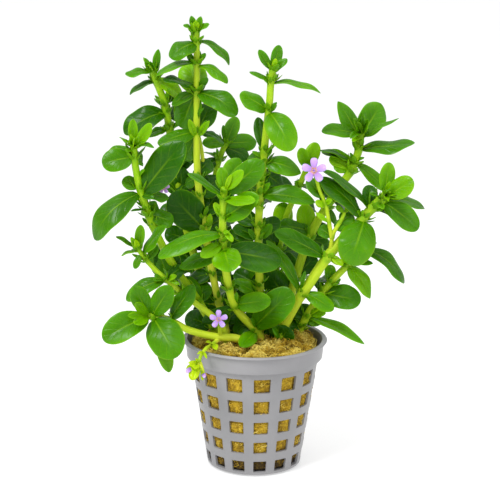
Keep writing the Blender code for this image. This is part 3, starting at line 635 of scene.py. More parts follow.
@dataclass(frozen=True)
class PetalFinish:
    """A pale mauve petal with fine darker lines and a light edge."""

    mauve: Colour = (178, 138, 218)
    edge: Colour = (204, 172, 238)
    line: Colour = (138, 92, 200)
    throat: Colour = (216, 164, 96)
    lines: float = 3.5

    def material(self) -> bpy.types.Material:
        """Builds the petals' finish.

        Returns:
            The material.
        """
        look = Look("petal")
        across, along = look.attribute("across"), look.attribute("along")
        grain = look.noise(900.0, 3.0)
        base = look.ramp(along + (grain - 0.5) * 0.25, (0.14, self.throat),
                         (0.32, self.mauve), (0.95, self.edge))
        stripe = 1 - abs((across * self.lines).fraction() - 0.5).step(0.0, 0.2)
        colour = look.mixed(stripe * (1 - along.step(0.3, 0.85)) * 0.35, base, self.line)
        look.constant(Subsurface_Weight=0.2, Subsurface_Scale=1.0 * MM)
        return look.finish(colour, 0.55 + grain * 0.15, grain + stripe * 0.3, 0.2, 0.1)


@dataclass(frozen=True)
class FloorFinish:
    """A pale studio floor with a faint gloss."""

    pale: Colour = (210, 210, 210)
    cloudy: Colour = (206, 206, 207)
    glow: float = 0.4

    def material(self) -> bpy.types.Material:
        """Builds the floor's finish.

        Returns:
            The material.
        """
        look = Look("studio_floor")
        cloud = look.noise(3.0)
        look.constant(Specular_IOR_Level=0.3, Emission_Strength=self.glow,
                      Emission_Color=WHITE)
        return look.finish(look.mixed(cloud * 0.1, self.pale, self.cloudy),
                           0.1 + cloud * 0.04, cloud, 0.02, 0.1)


class Tone(Enum):
    """How mature a leaf is, and how much painted shade it carries, as its place between dark and young.
    DARK and SHADE are mostly painted shade on leaves deep in the plant or turned from the light.
    """

    DARK = 0.0
    SHADE = 0.25
    MID = 0.43
    FRESH = 0.7
    YOUNG = 1.0
    BUD = 1.7


DARK, SHADE, MID, FRESH, YOUNG, BUD = Tone


@dataclass
class Leaf:
    """A leaf from its knot on the stem to its tip, both places on the sheet.

    The upper face looks toward the viewer for lift 0 and straight up for lift
    90. Bow arches the midrib off its chord, and point draws the widest part back
    and sharpens the tip.
    """

    knot_across: float
    knot_up: float
    across: float
    up: float
    depth: float
    width: float
    lift: float = 45.0
    tone: Tone = Tone.MID
    bow: float = 0.5
    point: float = 0.0


@dataclass
class Shoot:
    """A stem through its places, with what grows on it.

    Radii are half its thickness at both ends, lean is how far it draws back for
    each mm above the rim, own how many of its leaves are CAD nodes, and pale how
    bleached its skin is. A leaf or a bud is a row of the fields of Leaf, in their
    order, and a flower is its place and its size beside a full one.
    """

    name: str
    radii: tuple[float, float]
    lean: float
    stem: list[Place]
    leaves: list[tuple]
    own: int = 0
    pale: float = 0.25
    twigs: list[list[Place]] = field(default_factory=list)
    flowers: list[tuple[Place, float]] = field(default_factory=list)
    buds: list[tuple] = field(default_factory=list)


@dataclass
class Blade:
    """A blade in mm: where it starts and ends, how it faces, and its form."""

    base: Vector
    tip: Vector
    face: Vector
    width: float
    bow: float = 0.5
    rise: float = 0.7
    fall: float = 0.44
    petiole: float = 0.16
    fold: float = 0.1
    cup: float = -0.2
    wave: float = 0.04
    twist: float = 0.0
    thick: float = 0.55
    teeth: float = 0.012
    tone: float = 0.5
    seed: float = 0.0
    small: bool = False


class BladeTree(Tree):
    """Grows closed blades, each from a point that carries its form.

    A blade is a tube of rings. Round a ring, across goes from -1 to 1 and upper
    from 1 on the face to -1 on the back, and along goes from the base to the tip.
    """

    FORM = ("bow", "rise", "fall", "petiole", "fold", "cup", "wave", "twist", "thick",
            "teeth", "seed", "half")
    OWN = ("across", "along", "upper")
    TEETH = 46.0
    RIPPLES = 9.0
    GROOVE = 0.14 * MM
    RIDGE = 0.3 * MM

    def __init__(self) -> None:
        """Builds the tree."""
        super().__init__("grow_blades", Sides=28, Rings=22, SmallSides=8, SmallRings=8)
        large = self.attribute("small") < 0.5
        joined = self.node("GeometryNodeJoinGeometry")
        for prefix, wanted in (("", large), ("Small", 1 - large)):
            grown = self.grown(self.given(prefix + "Sides"), self.given(prefix + "Rings"), wanted)
            self.tree.links.new(grown, joined.inputs[0])
        shaped = self.geometry("SetPosition", {"Geometry": joined.outputs[0],
                                               "Position": self.shape()})
        self.finish(self.geometry("MergeByDistance", {"Geometry": shaped, "Distance": WELD}))

    def grown(self, sides: Value, rings: Value, wanted: Value) -> bpy.types.NodeSocket:
        """One open tube, with its own coordinates, on each wanted point.

        Args:
            sides: Its vertices round a ring.
            rings: Its rings.
            wanted: Which points get one.

        Returns:
            The tubes, made real.
        """
        tube = self.geometry("MeshCylinder", {"Vertices": sides, "Side Segments": rings,
                             "Radius": 1.0, "Depth": 1.0}, "Mesh", fill_type="NONE")
        place = self.node("ShaderNodeSeparateXYZ", {0: self.geometry("InputPosition", {})})
        height = Value(self, place.outputs[2]) + 0.5
        height = 1 - (1 - height ** 1.25) ** 1.8
        for name, value in (("across", place.outputs[0]), ("upper", place.outputs[1]),
                            ("along", height)):
            tube = self.stored(tube, name, value)
        grown = self.copies(self.inputs["Geometry"], Selection=wanted, Instance=tube)
        return self.geometry("RealizeInstances", {"Geometry": grown})

    def shape(self) -> bpy.types.NodeSocket:
        """Works out the place of each vertex from its form and its own coordinates.

        Returns:
            The place.
        """
        form = {name: self.attribute(name) for name in self.FORM + self.OWN}
        across, along, upper = (form[name] for name in self.OWN)
        left = 1 - along
        edge = abs(across)
        peak = form["rise"] / (form["rise"] + form["fall"])
        body = (along / peak) ** form["rise"] * (left / (1 - peak)) ** form["fall"]
        breadth = form["petiole"] * left + body * (1 - form["petiole"] * (1 - peak))
        tooth = abs((along * self.TEETH + form["seed"] * 9.0).sine())
        breadth = breadth * (1 + form["teeth"] * tooth * along.step(0.25, 0.5))
        close = (along * 60.0).at_most(1.0)
        sheet = form["half"] * (breadth * close)
        ripple = (along * self.RIPPLES + form["seed"] * 20.0).sine()
        rise = form["bow"] * 4.0 * along * left
        rise = rise + sheet * (form["fold"] * edge + form["cup"] * edge * edge
                               + form["wave"] * ripple * edge * 2.0
                               + form["twist"] * across * along)
        lens = form["thick"] * (0.4 + left * 0.6) * close
        groove = upper.at_least(0.0) ** 50.0 * self.GROOVE * left.step(0.0, 0.5)
        ridge = (0 - upper).at_least(0.0) ** 14.0 * self.RIDGE * left.step(0.0, 0.9) * close
        rise = rise + upper * lens * 0.5 - groove - ridge
        place = self.attribute("base", "FLOAT_VECTOR")
        for name, share in (("chord", along), ("side", across * sheet), ("face", rise)):
            reach = self.made("ShaderNodeVectorMath",
                              {"Vector": self.attribute(name, "FLOAT_VECTOR"), "Scale": share},
                              operation="SCALE")
            place = self.made("ShaderNodeVectorMath", {0: place, 1: reach}, operation="ADD")
        return place

    def grow(self, blades: list[Blade], name: str, material: bpy.types.Material,
             **inputs: int) -> bpy.types.Mesh:
        """A mesh of blades.

        Args:
            blades: What to grow.
            name: The mesh's name.
            material: What they wear.
            inputs: The tree's other inputs by name.

        Returns:
            The mesh, in metres.
        """
        mesh = bpy.data.meshes.new(name)
        mesh.from_pydata([blade.base * MM for blade in blades], [], [])
        vectors: dict[str, list[float]] = {"base": [], "chord": [], "side": [], "face": []}
        numbers: dict[str, list[float]] = {label: [] for label in (*self.FORM, "tone", "small")}
        for blade in blades:
            chord = blade.tip - blade.base
            way = chord.normalized()
            face = (blade.face - blade.face.dot(way) * way).normalized()
            for label, vector in (("base", blade.base * MM), ("chord", chord * MM),
                                  ("side", face.cross(way)), ("face", face)):
                vectors[label].extend(vector)
            for label, row in numbers.items():
                value = blade.width / 2 if label == "half" else getattr(blade, label)
                row.append(value * (MM if label in ("bow", "half", "thick") else 1.0))
        carry(mesh, "FLOAT_VECTOR", vectors)
        carry(mesh, "FLOAT", numbers)
        return self.run(mesh, name, {**inputs, "Material": material}, (*self.OWN, "tone", "seed"))


class Line:
    """A stem's middle line in mm, close together on a smooth curve."""

    SWELLING = 0.13
    SWELLING_REACH = 1.3
    TIP_SHARE = 0.7

    def __init__(self, places: list[Place], radii: tuple[float, float], lean: float,
                 per_span: int = 10) -> None:
        """Runs a curve through places.

        Args:
            places: Places on the sheet, from the foot up.
            radii: Half its thickness at both ends.
            lean: Depth added for each mm above the rim.
            per_span: Points between two places.
        """
        self.radii = radii
        self.marks: list[float] = []
        knots = [Vector(place) for place in places]
        knots = [2 * knots[0] - knots[1]] + knots + [2 * knots[-1] - knots[-2]]
        self.way: list[Vector] = []
        for before, start, end, after in zip(knots, knots[1:], knots[2:], knots[3:]):
            for step in range(per_span):
                t = step / per_span
                self.way.append(0.5 * (2 * start + (end - before) * t
                                       + (2 * before - 5 * start + 4 * end - after) * t ** 2
                                       + (3 * start - before - 3 * end + after) * t ** 3))
        self.way.append(knots[-2])
        self.points = [placed(place, lean) for place in self.way]
        self.lengths = [0.0]
        for a, b in zip(self.points, self.points[1:]):
            self.lengths.append(self.lengths[-1] + (b - a).length)

    def nearest(self, knot: tuple[float, float]) -> tuple[float, int]:
        """How far a spot on the sheet is from the line, and the point nearest to it."""
        return min(((place.xy - Vector(knot)).length, k) for k, place in enumerate(self.way))

    def direction(self, k: int) -> Vector:
        """The way the line runs at a point."""
        return (self.points[min(k + 1, len(self.points) - 1)]
                - self.points[max(k - 1, 0)]).normalized()

    def radius(self, k: int) -> float:
        """Half the thickness at a point, away from the knots."""
        share = self.lengths[k] / self.lengths[-1]
        return self.radii[0] + (self.radii[1] - self.radii[0]) * share

    def knots(self) -> list[float]:
        """How close each point is to a knot, from 0 to 1."""
        return [max([math.exp(-((length - mark) / self.SWELLING_REACH) ** 2)
                     for mark in self.marks], default=0.0) for length in self.lengths]

    def thickness(self) -> list[float]:
        """Half the thickness at each point, with the knots' swellings."""
        last = len(self.points) - 1
        return [self.radius(k) * (1 + self.SWELLING * near) * (self.TIP_SHARE if k == last else 1)
                for k, near in enumerate(self.knots())]

    def root(self, knot: tuple[float, float], tip: Vector, sunk: float = 0.55
             ) -> tuple[Vector, int]:
        """Where something that grows from a knot starts: inside the skin, on tip's side.

        Args:
            knot: The knot on the sheet.
            tip: Where the thing ends, in mm.
            sunk: How much of the radius lies under the start.

        Returns:
            The start, and the point of the line by it.
        """
        k = self.nearest(knot)[1]
        way = self.direction(k)
        out = tip - self.points[k]
        out = (out - out.dot(way) * way).normalized()
        return self.points[k] + out * self.radius(k) * sunk, k


class StemTree(Tree):
    """Wraps tubes round lines whose points carry their thickness."""

    GRAIN = 80.0

    def __init__(self) -> None:
        """Builds the tree."""
        super().__init__("wrap_stems", Sides=14)
        thick = self.attribute("thick")
        line = self.geometry("SetCurveRadius", {
            "Curve": self.geometry("MeshToCurve", {0: self.inputs["Geometry"]}),
            "Radius": thick})
        ring = self.geometry("CurvePrimitiveCircle", {"Resolution": self.given("Sides"),
                                                      "Radius": 1.0}, mode="RADIUS")
        ring = self.stored(ring, "around", self.geometry("InputPosition", {}), "FLOAT_VECTOR")
        tube = self.geometry("CurveToMesh", {"Curve": line, "Profile Curve": ring,
                                             "Fill Caps": True, "Scale": thick})
        around = self.node("ShaderNodeSeparateXYZ",
                           {0: self.attribute("around", "FLOAT_VECTOR")}).outputs
        grain = self.combined(around[0], around[1], self.attribute("length") * self.GRAIN)
        self.finish(self.stored(tube, "grain", grain, "FLOAT_VECTOR"))

    def wrap(self, lines: list[Line], name: str, material: bpy.types.Material, pale: float
             ) -> bpy.types.Mesh:
        """A mesh of tubes.

        Args:
            lines: The lines that they are wrapped round.
            name: The mesh's name.
            material: What they wear.
            pale: How bleached they are.

        Returns:
            The mesh, in metres.
        """
        mesh = bpy.data.meshes.new(name)
        points: list[Vector] = []
        edges: list[tuple[int, int]] = []
        for line in lines:
            first = len(points)
            points += [point * MM for point in line.points]
            edges += [(k, k + 1) for k in range(first, len(points) - 1)]
        mesh.from_pydata(points, edges, [])
        carry(mesh, "FLOAT", {
            "thick": [r * MM for line in lines for r in line.thickness()],
            "length": [m * MM for line in lines for m in line.lengths],
            "run": [m / line.lengths[-1] for line in lines for m in line.lengths],
            "knot": [k for line in lines for k in line.knots()],
            "pale": [pale] * len(points)})
        return self.run(mesh, name, {"Material": material}, ("run", "knot", "pale", "grain"))


@dataclass
class Dress:
    """What the plant's pieces are grown with and wear."""

    blades: BladeTree = field(default_factory=BladeTree)
    stems: StemTree = field(default_factory=StemTree)
    leaf: bpy.types.Material = field(default_factory=LeafFinish().material)
    stem: bpy.types.Material = field(default_factory=StemFinish().material)
    petal: bpy.types.Material = field(default_factory=PetalFinish().material)


@dataclass
class ShootMaker:
    """Builds one shoot: its stem with twigs, and its foliage."""

    shoot: Shoot
    dress: Dress
    twig_radii: tuple[float, float] = (0.85, 0.6)
    twig_points: int = 6
    small_under: float = 5.5
    knot_gap: float = 3.0
    leaflets: int = 8
    leaflet_reach: float = 4.4

    def lines(self) -> list[Line]:
        """The stem's line, then those of its twigs."""
        lean = self.shoot.lean
        return [Line(self.shoot.stem, self.shoot.radii, lean)] + [
            Line(twig, self.twig_radii, lean, self.twig_points) for twig in self.shoot.twigs]

    def blade(self, row: tuple, lines: list[Line], chance: random.Random) -> Blade:
        """The blade of a leaf, on the line nearest to its knot.

        Args:
            row: The leaf's sizes.
            lines: The shoot's lines, which get a mark where a large leaf grows.
            chance: Where its random numbers come from.

        Returns:
            The blade.
        """
        leaf = Leaf(*row)
        knot = (leaf.knot_across, leaf.knot_up)
        line = min(lines, key=lambda one: one.nearest(knot)[0])
        tip = placed((leaf.across, leaf.up, leaf.depth), self.shoot.lean)
        base, k = line.root(knot, tip)
        long = (tip - base).length
        spot = line.lengths[k]
        if long > self.small_under and all(abs(spot - m) >= self.knot_gap for m in line.marks):
            line.marks.append(spot)
        lift = math.radians(leaf.lift)
        slim = long / leaf.width
        rise = min(1.0, max(0.56, 0.36 + 0.18 * slim))
        fall = 0.35 + 0.08 * min(3.4, slim)
        return Blade(base, tip, Vector((0, -math.cos(lift), math.sin(lift))),
                     leaf.width * 1.04, bow=leaf.bow,
                     rise=rise + (0.66 - rise) * leaf.point * 0.8,
                     fall=fall + (1.0 - fall) * leaf.point * 0.7,
                     petiole=0.15 + 0.02 * slim,
                     fold=chance.uniform(0.14, 0.46), cup=chance.uniform(-0.5, -0.12),
                     wave=chance.uniform(0.03, 0.1), twist=chance.uniform(-0.25, 0.25),
                     thick=0.35 + 0.03 * leaf.width,
                     tone=leaf.tone.value + chance.uniform(-0.12, 0.12),
                     seed=chance.random(), small=long < self.small_under)

    def axils(self, line: Line, chance: random.Random) -> list[Blade]:
        """The leaflets that crowd round each of a stem's knots.

        Args:
            line: The stem's line.
            chance: Where their random numbers come from.

        Returns:
            Their blades.
        """
        made = []
        for mark in line.marks:
            k = min(range(len(line.lengths)), key=lambda one: abs(line.lengths[one] - mark))
            way = line.direction(k)
            side = way.cross(Vector((0, -1, 0))).normalized()
            front = side.cross(way)
            turn = chance.uniform(0, math.tau)
            for _ in range(self.leaflets):
                turn += math.tau / self.leaflets * chance.uniform(0.6, 1.4)
                out = side * math.cos(turn) + front * math.sin(turn)
                aim = (way * chance.uniform(0.5, 1.1) + out * chance.uniform(0.45, 0.9))
                aim.normalize()
                base = line.points[k] + out * line.radius(k) * 0.7 + way * chance.uniform(-1, 1)
                reach = self.leaflet_reach * chance.uniform(0.4, 1.15)
                made.append(Blade(base, base + aim * reach, way * 0.4 - out,
                                  reach * chance.uniform(0.38, 0.58), bow=-0.3, rise=0.7,
                                  fall=0.7, thick=0.3, teeth=0.0, fold=0.2, cup=0.0,
                                  tone=chance.uniform(0.5, 1.0), seed=chance.random(),
                                  small=True))
        return made

    def make(self) -> None:
        """Builds the shoot's pieces."""
        shoot, dress = self.shoot, self.dress
        name = shoot.name
        chance = random.Random(name)
        lines = self.lines()
        blades = [self.blade(row, lines, chance) for row in shoot.leaves]
        blades += self.axils(lines[0], chance)
        stem = dress.stems.wrap(lines, f"stem_{name}", dress.stem, shoot.pale)
        piece(f"stem_{name}", stem, [f"shoot_{name}"])
        foliage = dress.blades.grow(blades, f"foliage_{name}", dress.leaf)
        piece(f"foliage_{name}", foliage,
              [f"leaf_{name}_{k + 1}" for k in range(shoot.own)])
        if shoot.buds:
            closed = [self.blade(row, lines, chance) for row in shoot.buds]
            mesh = dress.blades.grow(closed, f"buds_{name}", dress.petal)
            piece(f"buds_{name}", mesh)


@dataclass
class FlowerMaker:
    """Builds a flower: five petals, a short throat and its stamens."""

    number: int
    place: Place
    size: float
    lean: float
    dress: Dress
    reach: float = 4.6
    petal_width: float = 2.75
    petals: int = 5
    stamens: int = 4

    def spokes(self, toward: Vector, count: int, shift: float = 0.0) -> list[Vector]:
        """Directions spread evenly round the way that the flower faces.

        Args:
            toward: The way that it faces.
            count: How many.
            shift: The first one's share of a step past upright.

        Returns:
            The directions.
        """
        right = Vector((0, 0, 1)).cross(toward).normalized()
        upward = toward.cross(right)
        turns = [math.tau * (k + shift) / count for k in range(count)]
        return [right * math.sin(turn) + upward * math.cos(turn) for turn in turns]

    def make(self) -> None:
        """Builds the flower's piece."""
        name = f"flower_{self.number}"
        size = self.size
        centre = placed(self.place, self.lean)
        toward = (EYE - centre).normalized()
        chance = random.Random(name)
        blades = []
        for out in self.spokes(toward, self.petals):
            base = centre - toward * 0.5 * size
            tip = centre + out * self.reach * size + toward * 0.35 * size
            blades.append(Blade(base, tip, toward, self.petal_width * size, bow=0.35 * size,
                                rise=1.25, fall=0.42, petiole=0.34, fold=-0.1, wave=0.05,
                                thick=0.25, teeth=0.0, twist=chance.uniform(-0.15, 0.15),
                                seed=chance.random()))
        for out in self.spokes(toward, self.stamens, 0.4):
            blades.append(Blade(centre - toward * 0.3, centre + (out * 0.55 + toward) * size,
                                out, 0.5 * size, bow=0.1, thick=0.4, teeth=0.0, tone=0.0,
                                small=True))
        mesh = self.dress.blades.grow(blades, name, self.dress.petal, Sides=16, Rings=12,
                                      SmallSides=6)
        piece(f"blossom_{self.number}", mesh, [name])


class RoundTree(Tree):
    """Sets copies of a mesh round the upright axis and welds them together."""

    def __init__(self) -> None:
        """Builds the tree."""
        super().__init__("repeat_round", Count=14, Weld=0.01 * MM)
        count = self.given("Count")
        spots = self.geometry("MeshLine", {"Count": count, "Offset": (0.0, 0.0, 0.0)})
        index = Value(self, self.geometry("InputIndex", {}))
        copies = self.copies(spots, Instance=self.inputs["Geometry"],
                             Rotation=self.combined(0.0, 0.0, index * math.tau / count))
        real = self.geometry("RealizeInstances", {"Geometry": copies})
        self.finish(self.geometry("MergeByDistance", {"Geometry": real,
                                                      "Distance": self.given("Weld")}))


@dataclass
class NetPot:
    """The net pot: one bay of its wall and floor, set round fourteen times."""

    height: float = 49.5
    rim_radius: float = 27.5
    band_radius: float = 26.3
    band_draft: float = 0.5
    band_depth: float = 6.15
    base_radius: float = 17.1
    foot_edge: float = 0.65
    wall: float = 0.9
    wall_foot_radius: float = 17.8
    wall_flare: float = 0.155
    bays: int = 14
    hole_share: float = 0.595
    first_bay: float = math.radians(6.9)
    hole_rows: int = 5
    top_row_height: float = 37.25
    row_pitch: float = 8.8
    pitch_shrink: float = 0.965
    hole_tall: float = 5.6
    hole_shrink: float = 0.95
    slot_inner: float = 7.5
    slot_outer: float = 13.0
    slot_start: int = 2
    wall_start: int = 9
    corner: float = 0.12
    corner_steps: float = 1 / 3
    side_steps: int = 6
    edge_round: float = 0.1
    sharp_from: float = math.radians(42)

    def wall_radius(self, height: float) -> float:
        """The wall's outer radius at a height."""
        return self.wall_foot_radius + self.wall_flare * height

    def rows(self) -> list[tuple[float, float]]:
        """Spaces the rows of holes.

        Returns:
            The foot and the top of each, from below.
        """
        made = []
        centre = self.top_row_height
        for k in range(self.hole_rows):
            tall = self.hole_tall * self.hole_shrink ** k
            made.append((centre - tall / 2, centre + tall / 2))
            centre -= self.row_pitch * self.pitch_shrink ** k
        return made[::-1]

    def profile(self) -> list[tuple[float, float]]:
        """Draws the outer outline.

        Returns:
            Its points as (radius, height), from the middle below to the lip.
        """
        under = self.height - self.wall
        band_foot = under - self.band_depth
        inner, outer, base = self.slot_inner, self.slot_outer, self.base_radius
        line = [(radius, 0.0) for radius in (0.0, 2.5, inner - 1.5, inner, outer, outer + 1.5,
                                             base - self.foot_edge)]
        line += [(base - 0.2, 0.2), (base, self.foot_edge)]
        rows = self.rows()
        heights = [rows[0][0] - 1.0]
        for k, (foot, top) in enumerate(rows, 1):
            above = (top + rows[k][0]) / 2 if k < len(rows) else top + 1.6
            heights += [foot, top, above]
        line += [(self.wall_radius(z), z) for z in (*heights, band_foot - 0.15)]
        band, rim = self.band_radius, self.rim_radius
        low = band - self.band_draft
        return line + [(self.wall_radius(band_foot) + 0.15, band_foot - 0.02),
                       (low - 0.2, band_foot), (low, band_foot + 0.2),
                       (low + 0.1, band_foot + 1.5), (band - 0.15, under - 2.4),
                       (band, under - 0.4), (band + 0.12, under - 0.06),
                       (band + 0.35, under), (rim - 0.25, under), (rim, under + 0.25)]

    def rounded(self, x: float, y: float, share: float, upright: bool) -> tuple[float, float]:
        """A spot on a hole's edge, where its corners are arcs.

        Args:
            x: Across the hole, from -1 to 1, on a square edge.
            y: The same along the profile.
            share: How far along its side the spot is.
            upright: Whether that side is one of the two upright ones.

        Returns:
            Both with the corners rounded.
        """
        along, fixed = (y, x) if upright else (x, y)
        corner, arc = self.corner, self.corner_steps
        near = min(share, 1 - share)
        if near >= arc:
            flat = abs(along) / (1 - 2 * arc) * (1 - corner)
            along = math.copysign(min(flat, 1 - corner), along)
        else:
            turn = math.pi / 4 * (1 - near / arc)
            along = math.copysign(1 - corner + corner * math.sin(turn), along)
            fixed = math.copysign(1 - corner + corner * math.cos(turn), fixed)
        return (fixed, along) if upright else (along, fixed)

    def cell(self, low: int) -> list[list[tuple[float, float]]]:
        """Four-sided faces round a hole, as (angle, place along the profile).

        Args:
            low: Where the three stretches of the profile start that the cell covers. The
                hole is the middle one.

        Returns:
            The corners of each face.
        """
        half = math.pi / self.bays
        wide = half * self.hole_share
        outer: list[tuple[float, float]] = []
        inner: list[tuple[float, float]] = []
        ends = [(-1, -1), (1, -1), (1, 1), (-1, 1)]
        for (ax, ay), (bx, by) in zip(ends, ends[1:] + ends[:1]):
            for k in range(self.side_steps):
                t = k / self.side_steps
                x, y = ax + (bx - ax) * t, ay + (by - ay) * t
                outer.append((half * x, low + 3 * (y + 1) / 2))
                x, y = self.rounded(x, y, t, ax == bx)
                inner.append((wide * x, low + 1.5 + 0.5 * y))
        following = [*range(1, len(outer)), 0]
        return [[outer[k], outer[n], inner[n], inner[k]] for k, n in enumerate(following)]

    def band(self, low: int) -> list[list[tuple[float, float]]]:
        """Faces of a plain stretch of a bay, as (angle, place along the profile).

        Args:
            low: Where the stretch of the profile starts.

        Returns:
            The corners of each face.
        """
        half = math.pi / self.bays
        turns = [-half + 2 * half * k / self.side_steps for k in range(self.side_steps + 1)]
        return [[(a, low), (b, low), (b, low + 1), (a, low + 1)]
                for a, b in zip(turns, turns[1:])]

    def bay(self) -> bpy.types.Mesh:
        """Builds one bay of the pot's outer skin.

        Returns:
            Its mesh, in metres.
        """
        bm = bmesh.new()
        profile = self.profile()
        holed = {self.slot_start} | {self.wall_start + 3 * k for k in range(self.hole_rows)}
        low = 0
        while low < len(profile) - 1:
            for face in self.cell(low) if low in holed else self.band(low):
                corners = []
                for angle, along in face:
                    k = min(int(along), len(profile) - 2)
                    radius, height = between(profile[k], profile[k + 1], along - k)
                    corners.append(Vector((radius * math.sin(angle),
                                           -radius * math.cos(angle), height)) * MM)
                if low == 0:
                    corners = corners[1:]
                bm.faces.new([bm.verts.new(corner) for corner in corners])
            low += 3 if low in holed else 1
        bmesh.ops.remove_doubles(bm, verts=bm.verts, dist=WELD)
        return poured(bm, "pot_bay")

    def make(self, tree: RoundTree, look: bpy.types.Material) -> None:
        """Builds the pot's piece.

        Args:
            tree: What sets the bays round.
            look: The plastic.
        """
        skin = tree.run(self.bay(), "pot", {"Count": self.bays, "Material": look})
        skin.transform(Matrix.Rotation(self.first_bay, 4, "Z"))
        holder = shown("pot_skin", skin)
        for kind, settings in (
                ("SOLIDIFY", {"thickness": self.wall * MM, "offset": -1,
                              "use_even_offset": True}),
                ("BEVEL", {"width": self.edge_round * MM, "segments": 2,
                           "limit_method": "ANGLE", "angle_limit": self.sharp_from}),
                ("WEIGHTED_NORMAL", {"keep_sharp": True})):
            modifier = holder.modifiers.new(kind.lower(), kind)
            for name, setting in settings.items():
                setattr(modifier, name, setting)
        piece("pot", settled(holder, "pot"), ["net_pot"])


class FibreTree(Tree):
    """Scatters short bent fibres over a surface, more and lighter where it is furry; the lightness is
    painted light on the knobs.
    """

    def __init__(self) -> None:
        """Builds the tree."""
        super().__init__("scatter_fibres", Density=1.0, Seed=0, Length=4 * MM,
                         Thickness=0.11 * MM, Lift=0.35)
        length, lift, furry = self.given("Length"), self.given("Lift"), self.attribute("furry")
        spread = self.node("GeometryNodeDistributePointsOnFaces", {
            "Mesh": self.inputs["Geometry"], "Density": self.given("Density") * furry,
            "Seed": self.given("Seed")}, distribute_method="RANDOM").outputs
        bend = self.geometry("CurveQuadraticBezier", {
            "Resolution": 5, "Start": (-0.3, -0.16, -0.02), "Middle": (0.2, 0.72, 0.5),
            "End": (0.26, -0.2, 0.0)})
        ring = self.geometry("CurvePrimitiveCircle", {
            "Resolution": 3, "Radius": self.given("Thickness") / length}, mode="RADIUS")
        fibre = self.geometry("CurveToMesh", {"Curve": bend, "Profile Curve": ring,
                                              "Fill Caps": True})
        tilt = self.combined(self.chance(-1.0, 1.0, 1) * lift, self.chance(-1.0, 1.0, 2) * lift,
                             self.chance(0.0, math.tau, 3))
        turned = self.made("FunctionNodeRotateRotation", {
            "Rotation": spread["Rotation"],
            "Rotate By": self.made("FunctionNodeEulerToRotation", {0: tilt})},
            rotation_space="LOCAL")
        scattered = self.copies(spread["Points"], Instance=fibre, Rotation=turned,
                                Scale=self.chance(0.45, 1.2, 5) * length)
        # Fibres on the knobs, where the wool is furriest, get a lighter tone and those in the gaps a
        # darker one: painted light and shade.
        self.finish(self.stored(scattered, "shade", self.chance(0.0, 0.45, 9) + furry * 0.5,
                                domain="INSTANCE"))

    def chance(self, low: float, high: float, offset: int) -> Value:
        """A random number for each fibre."""
        return self.value("FunctionNodeRandomValue", {
            "Min": low, "Max": high, "Seed": self.given("Seed") + offset}, "Value",
            data_type="FLOAT")


@dataclass
class Fibres:
    """How the loose fibres grow on a part of the wool."""

    name: str
    top: bool
    density: float
    length: float
    lift: float
    seed: int


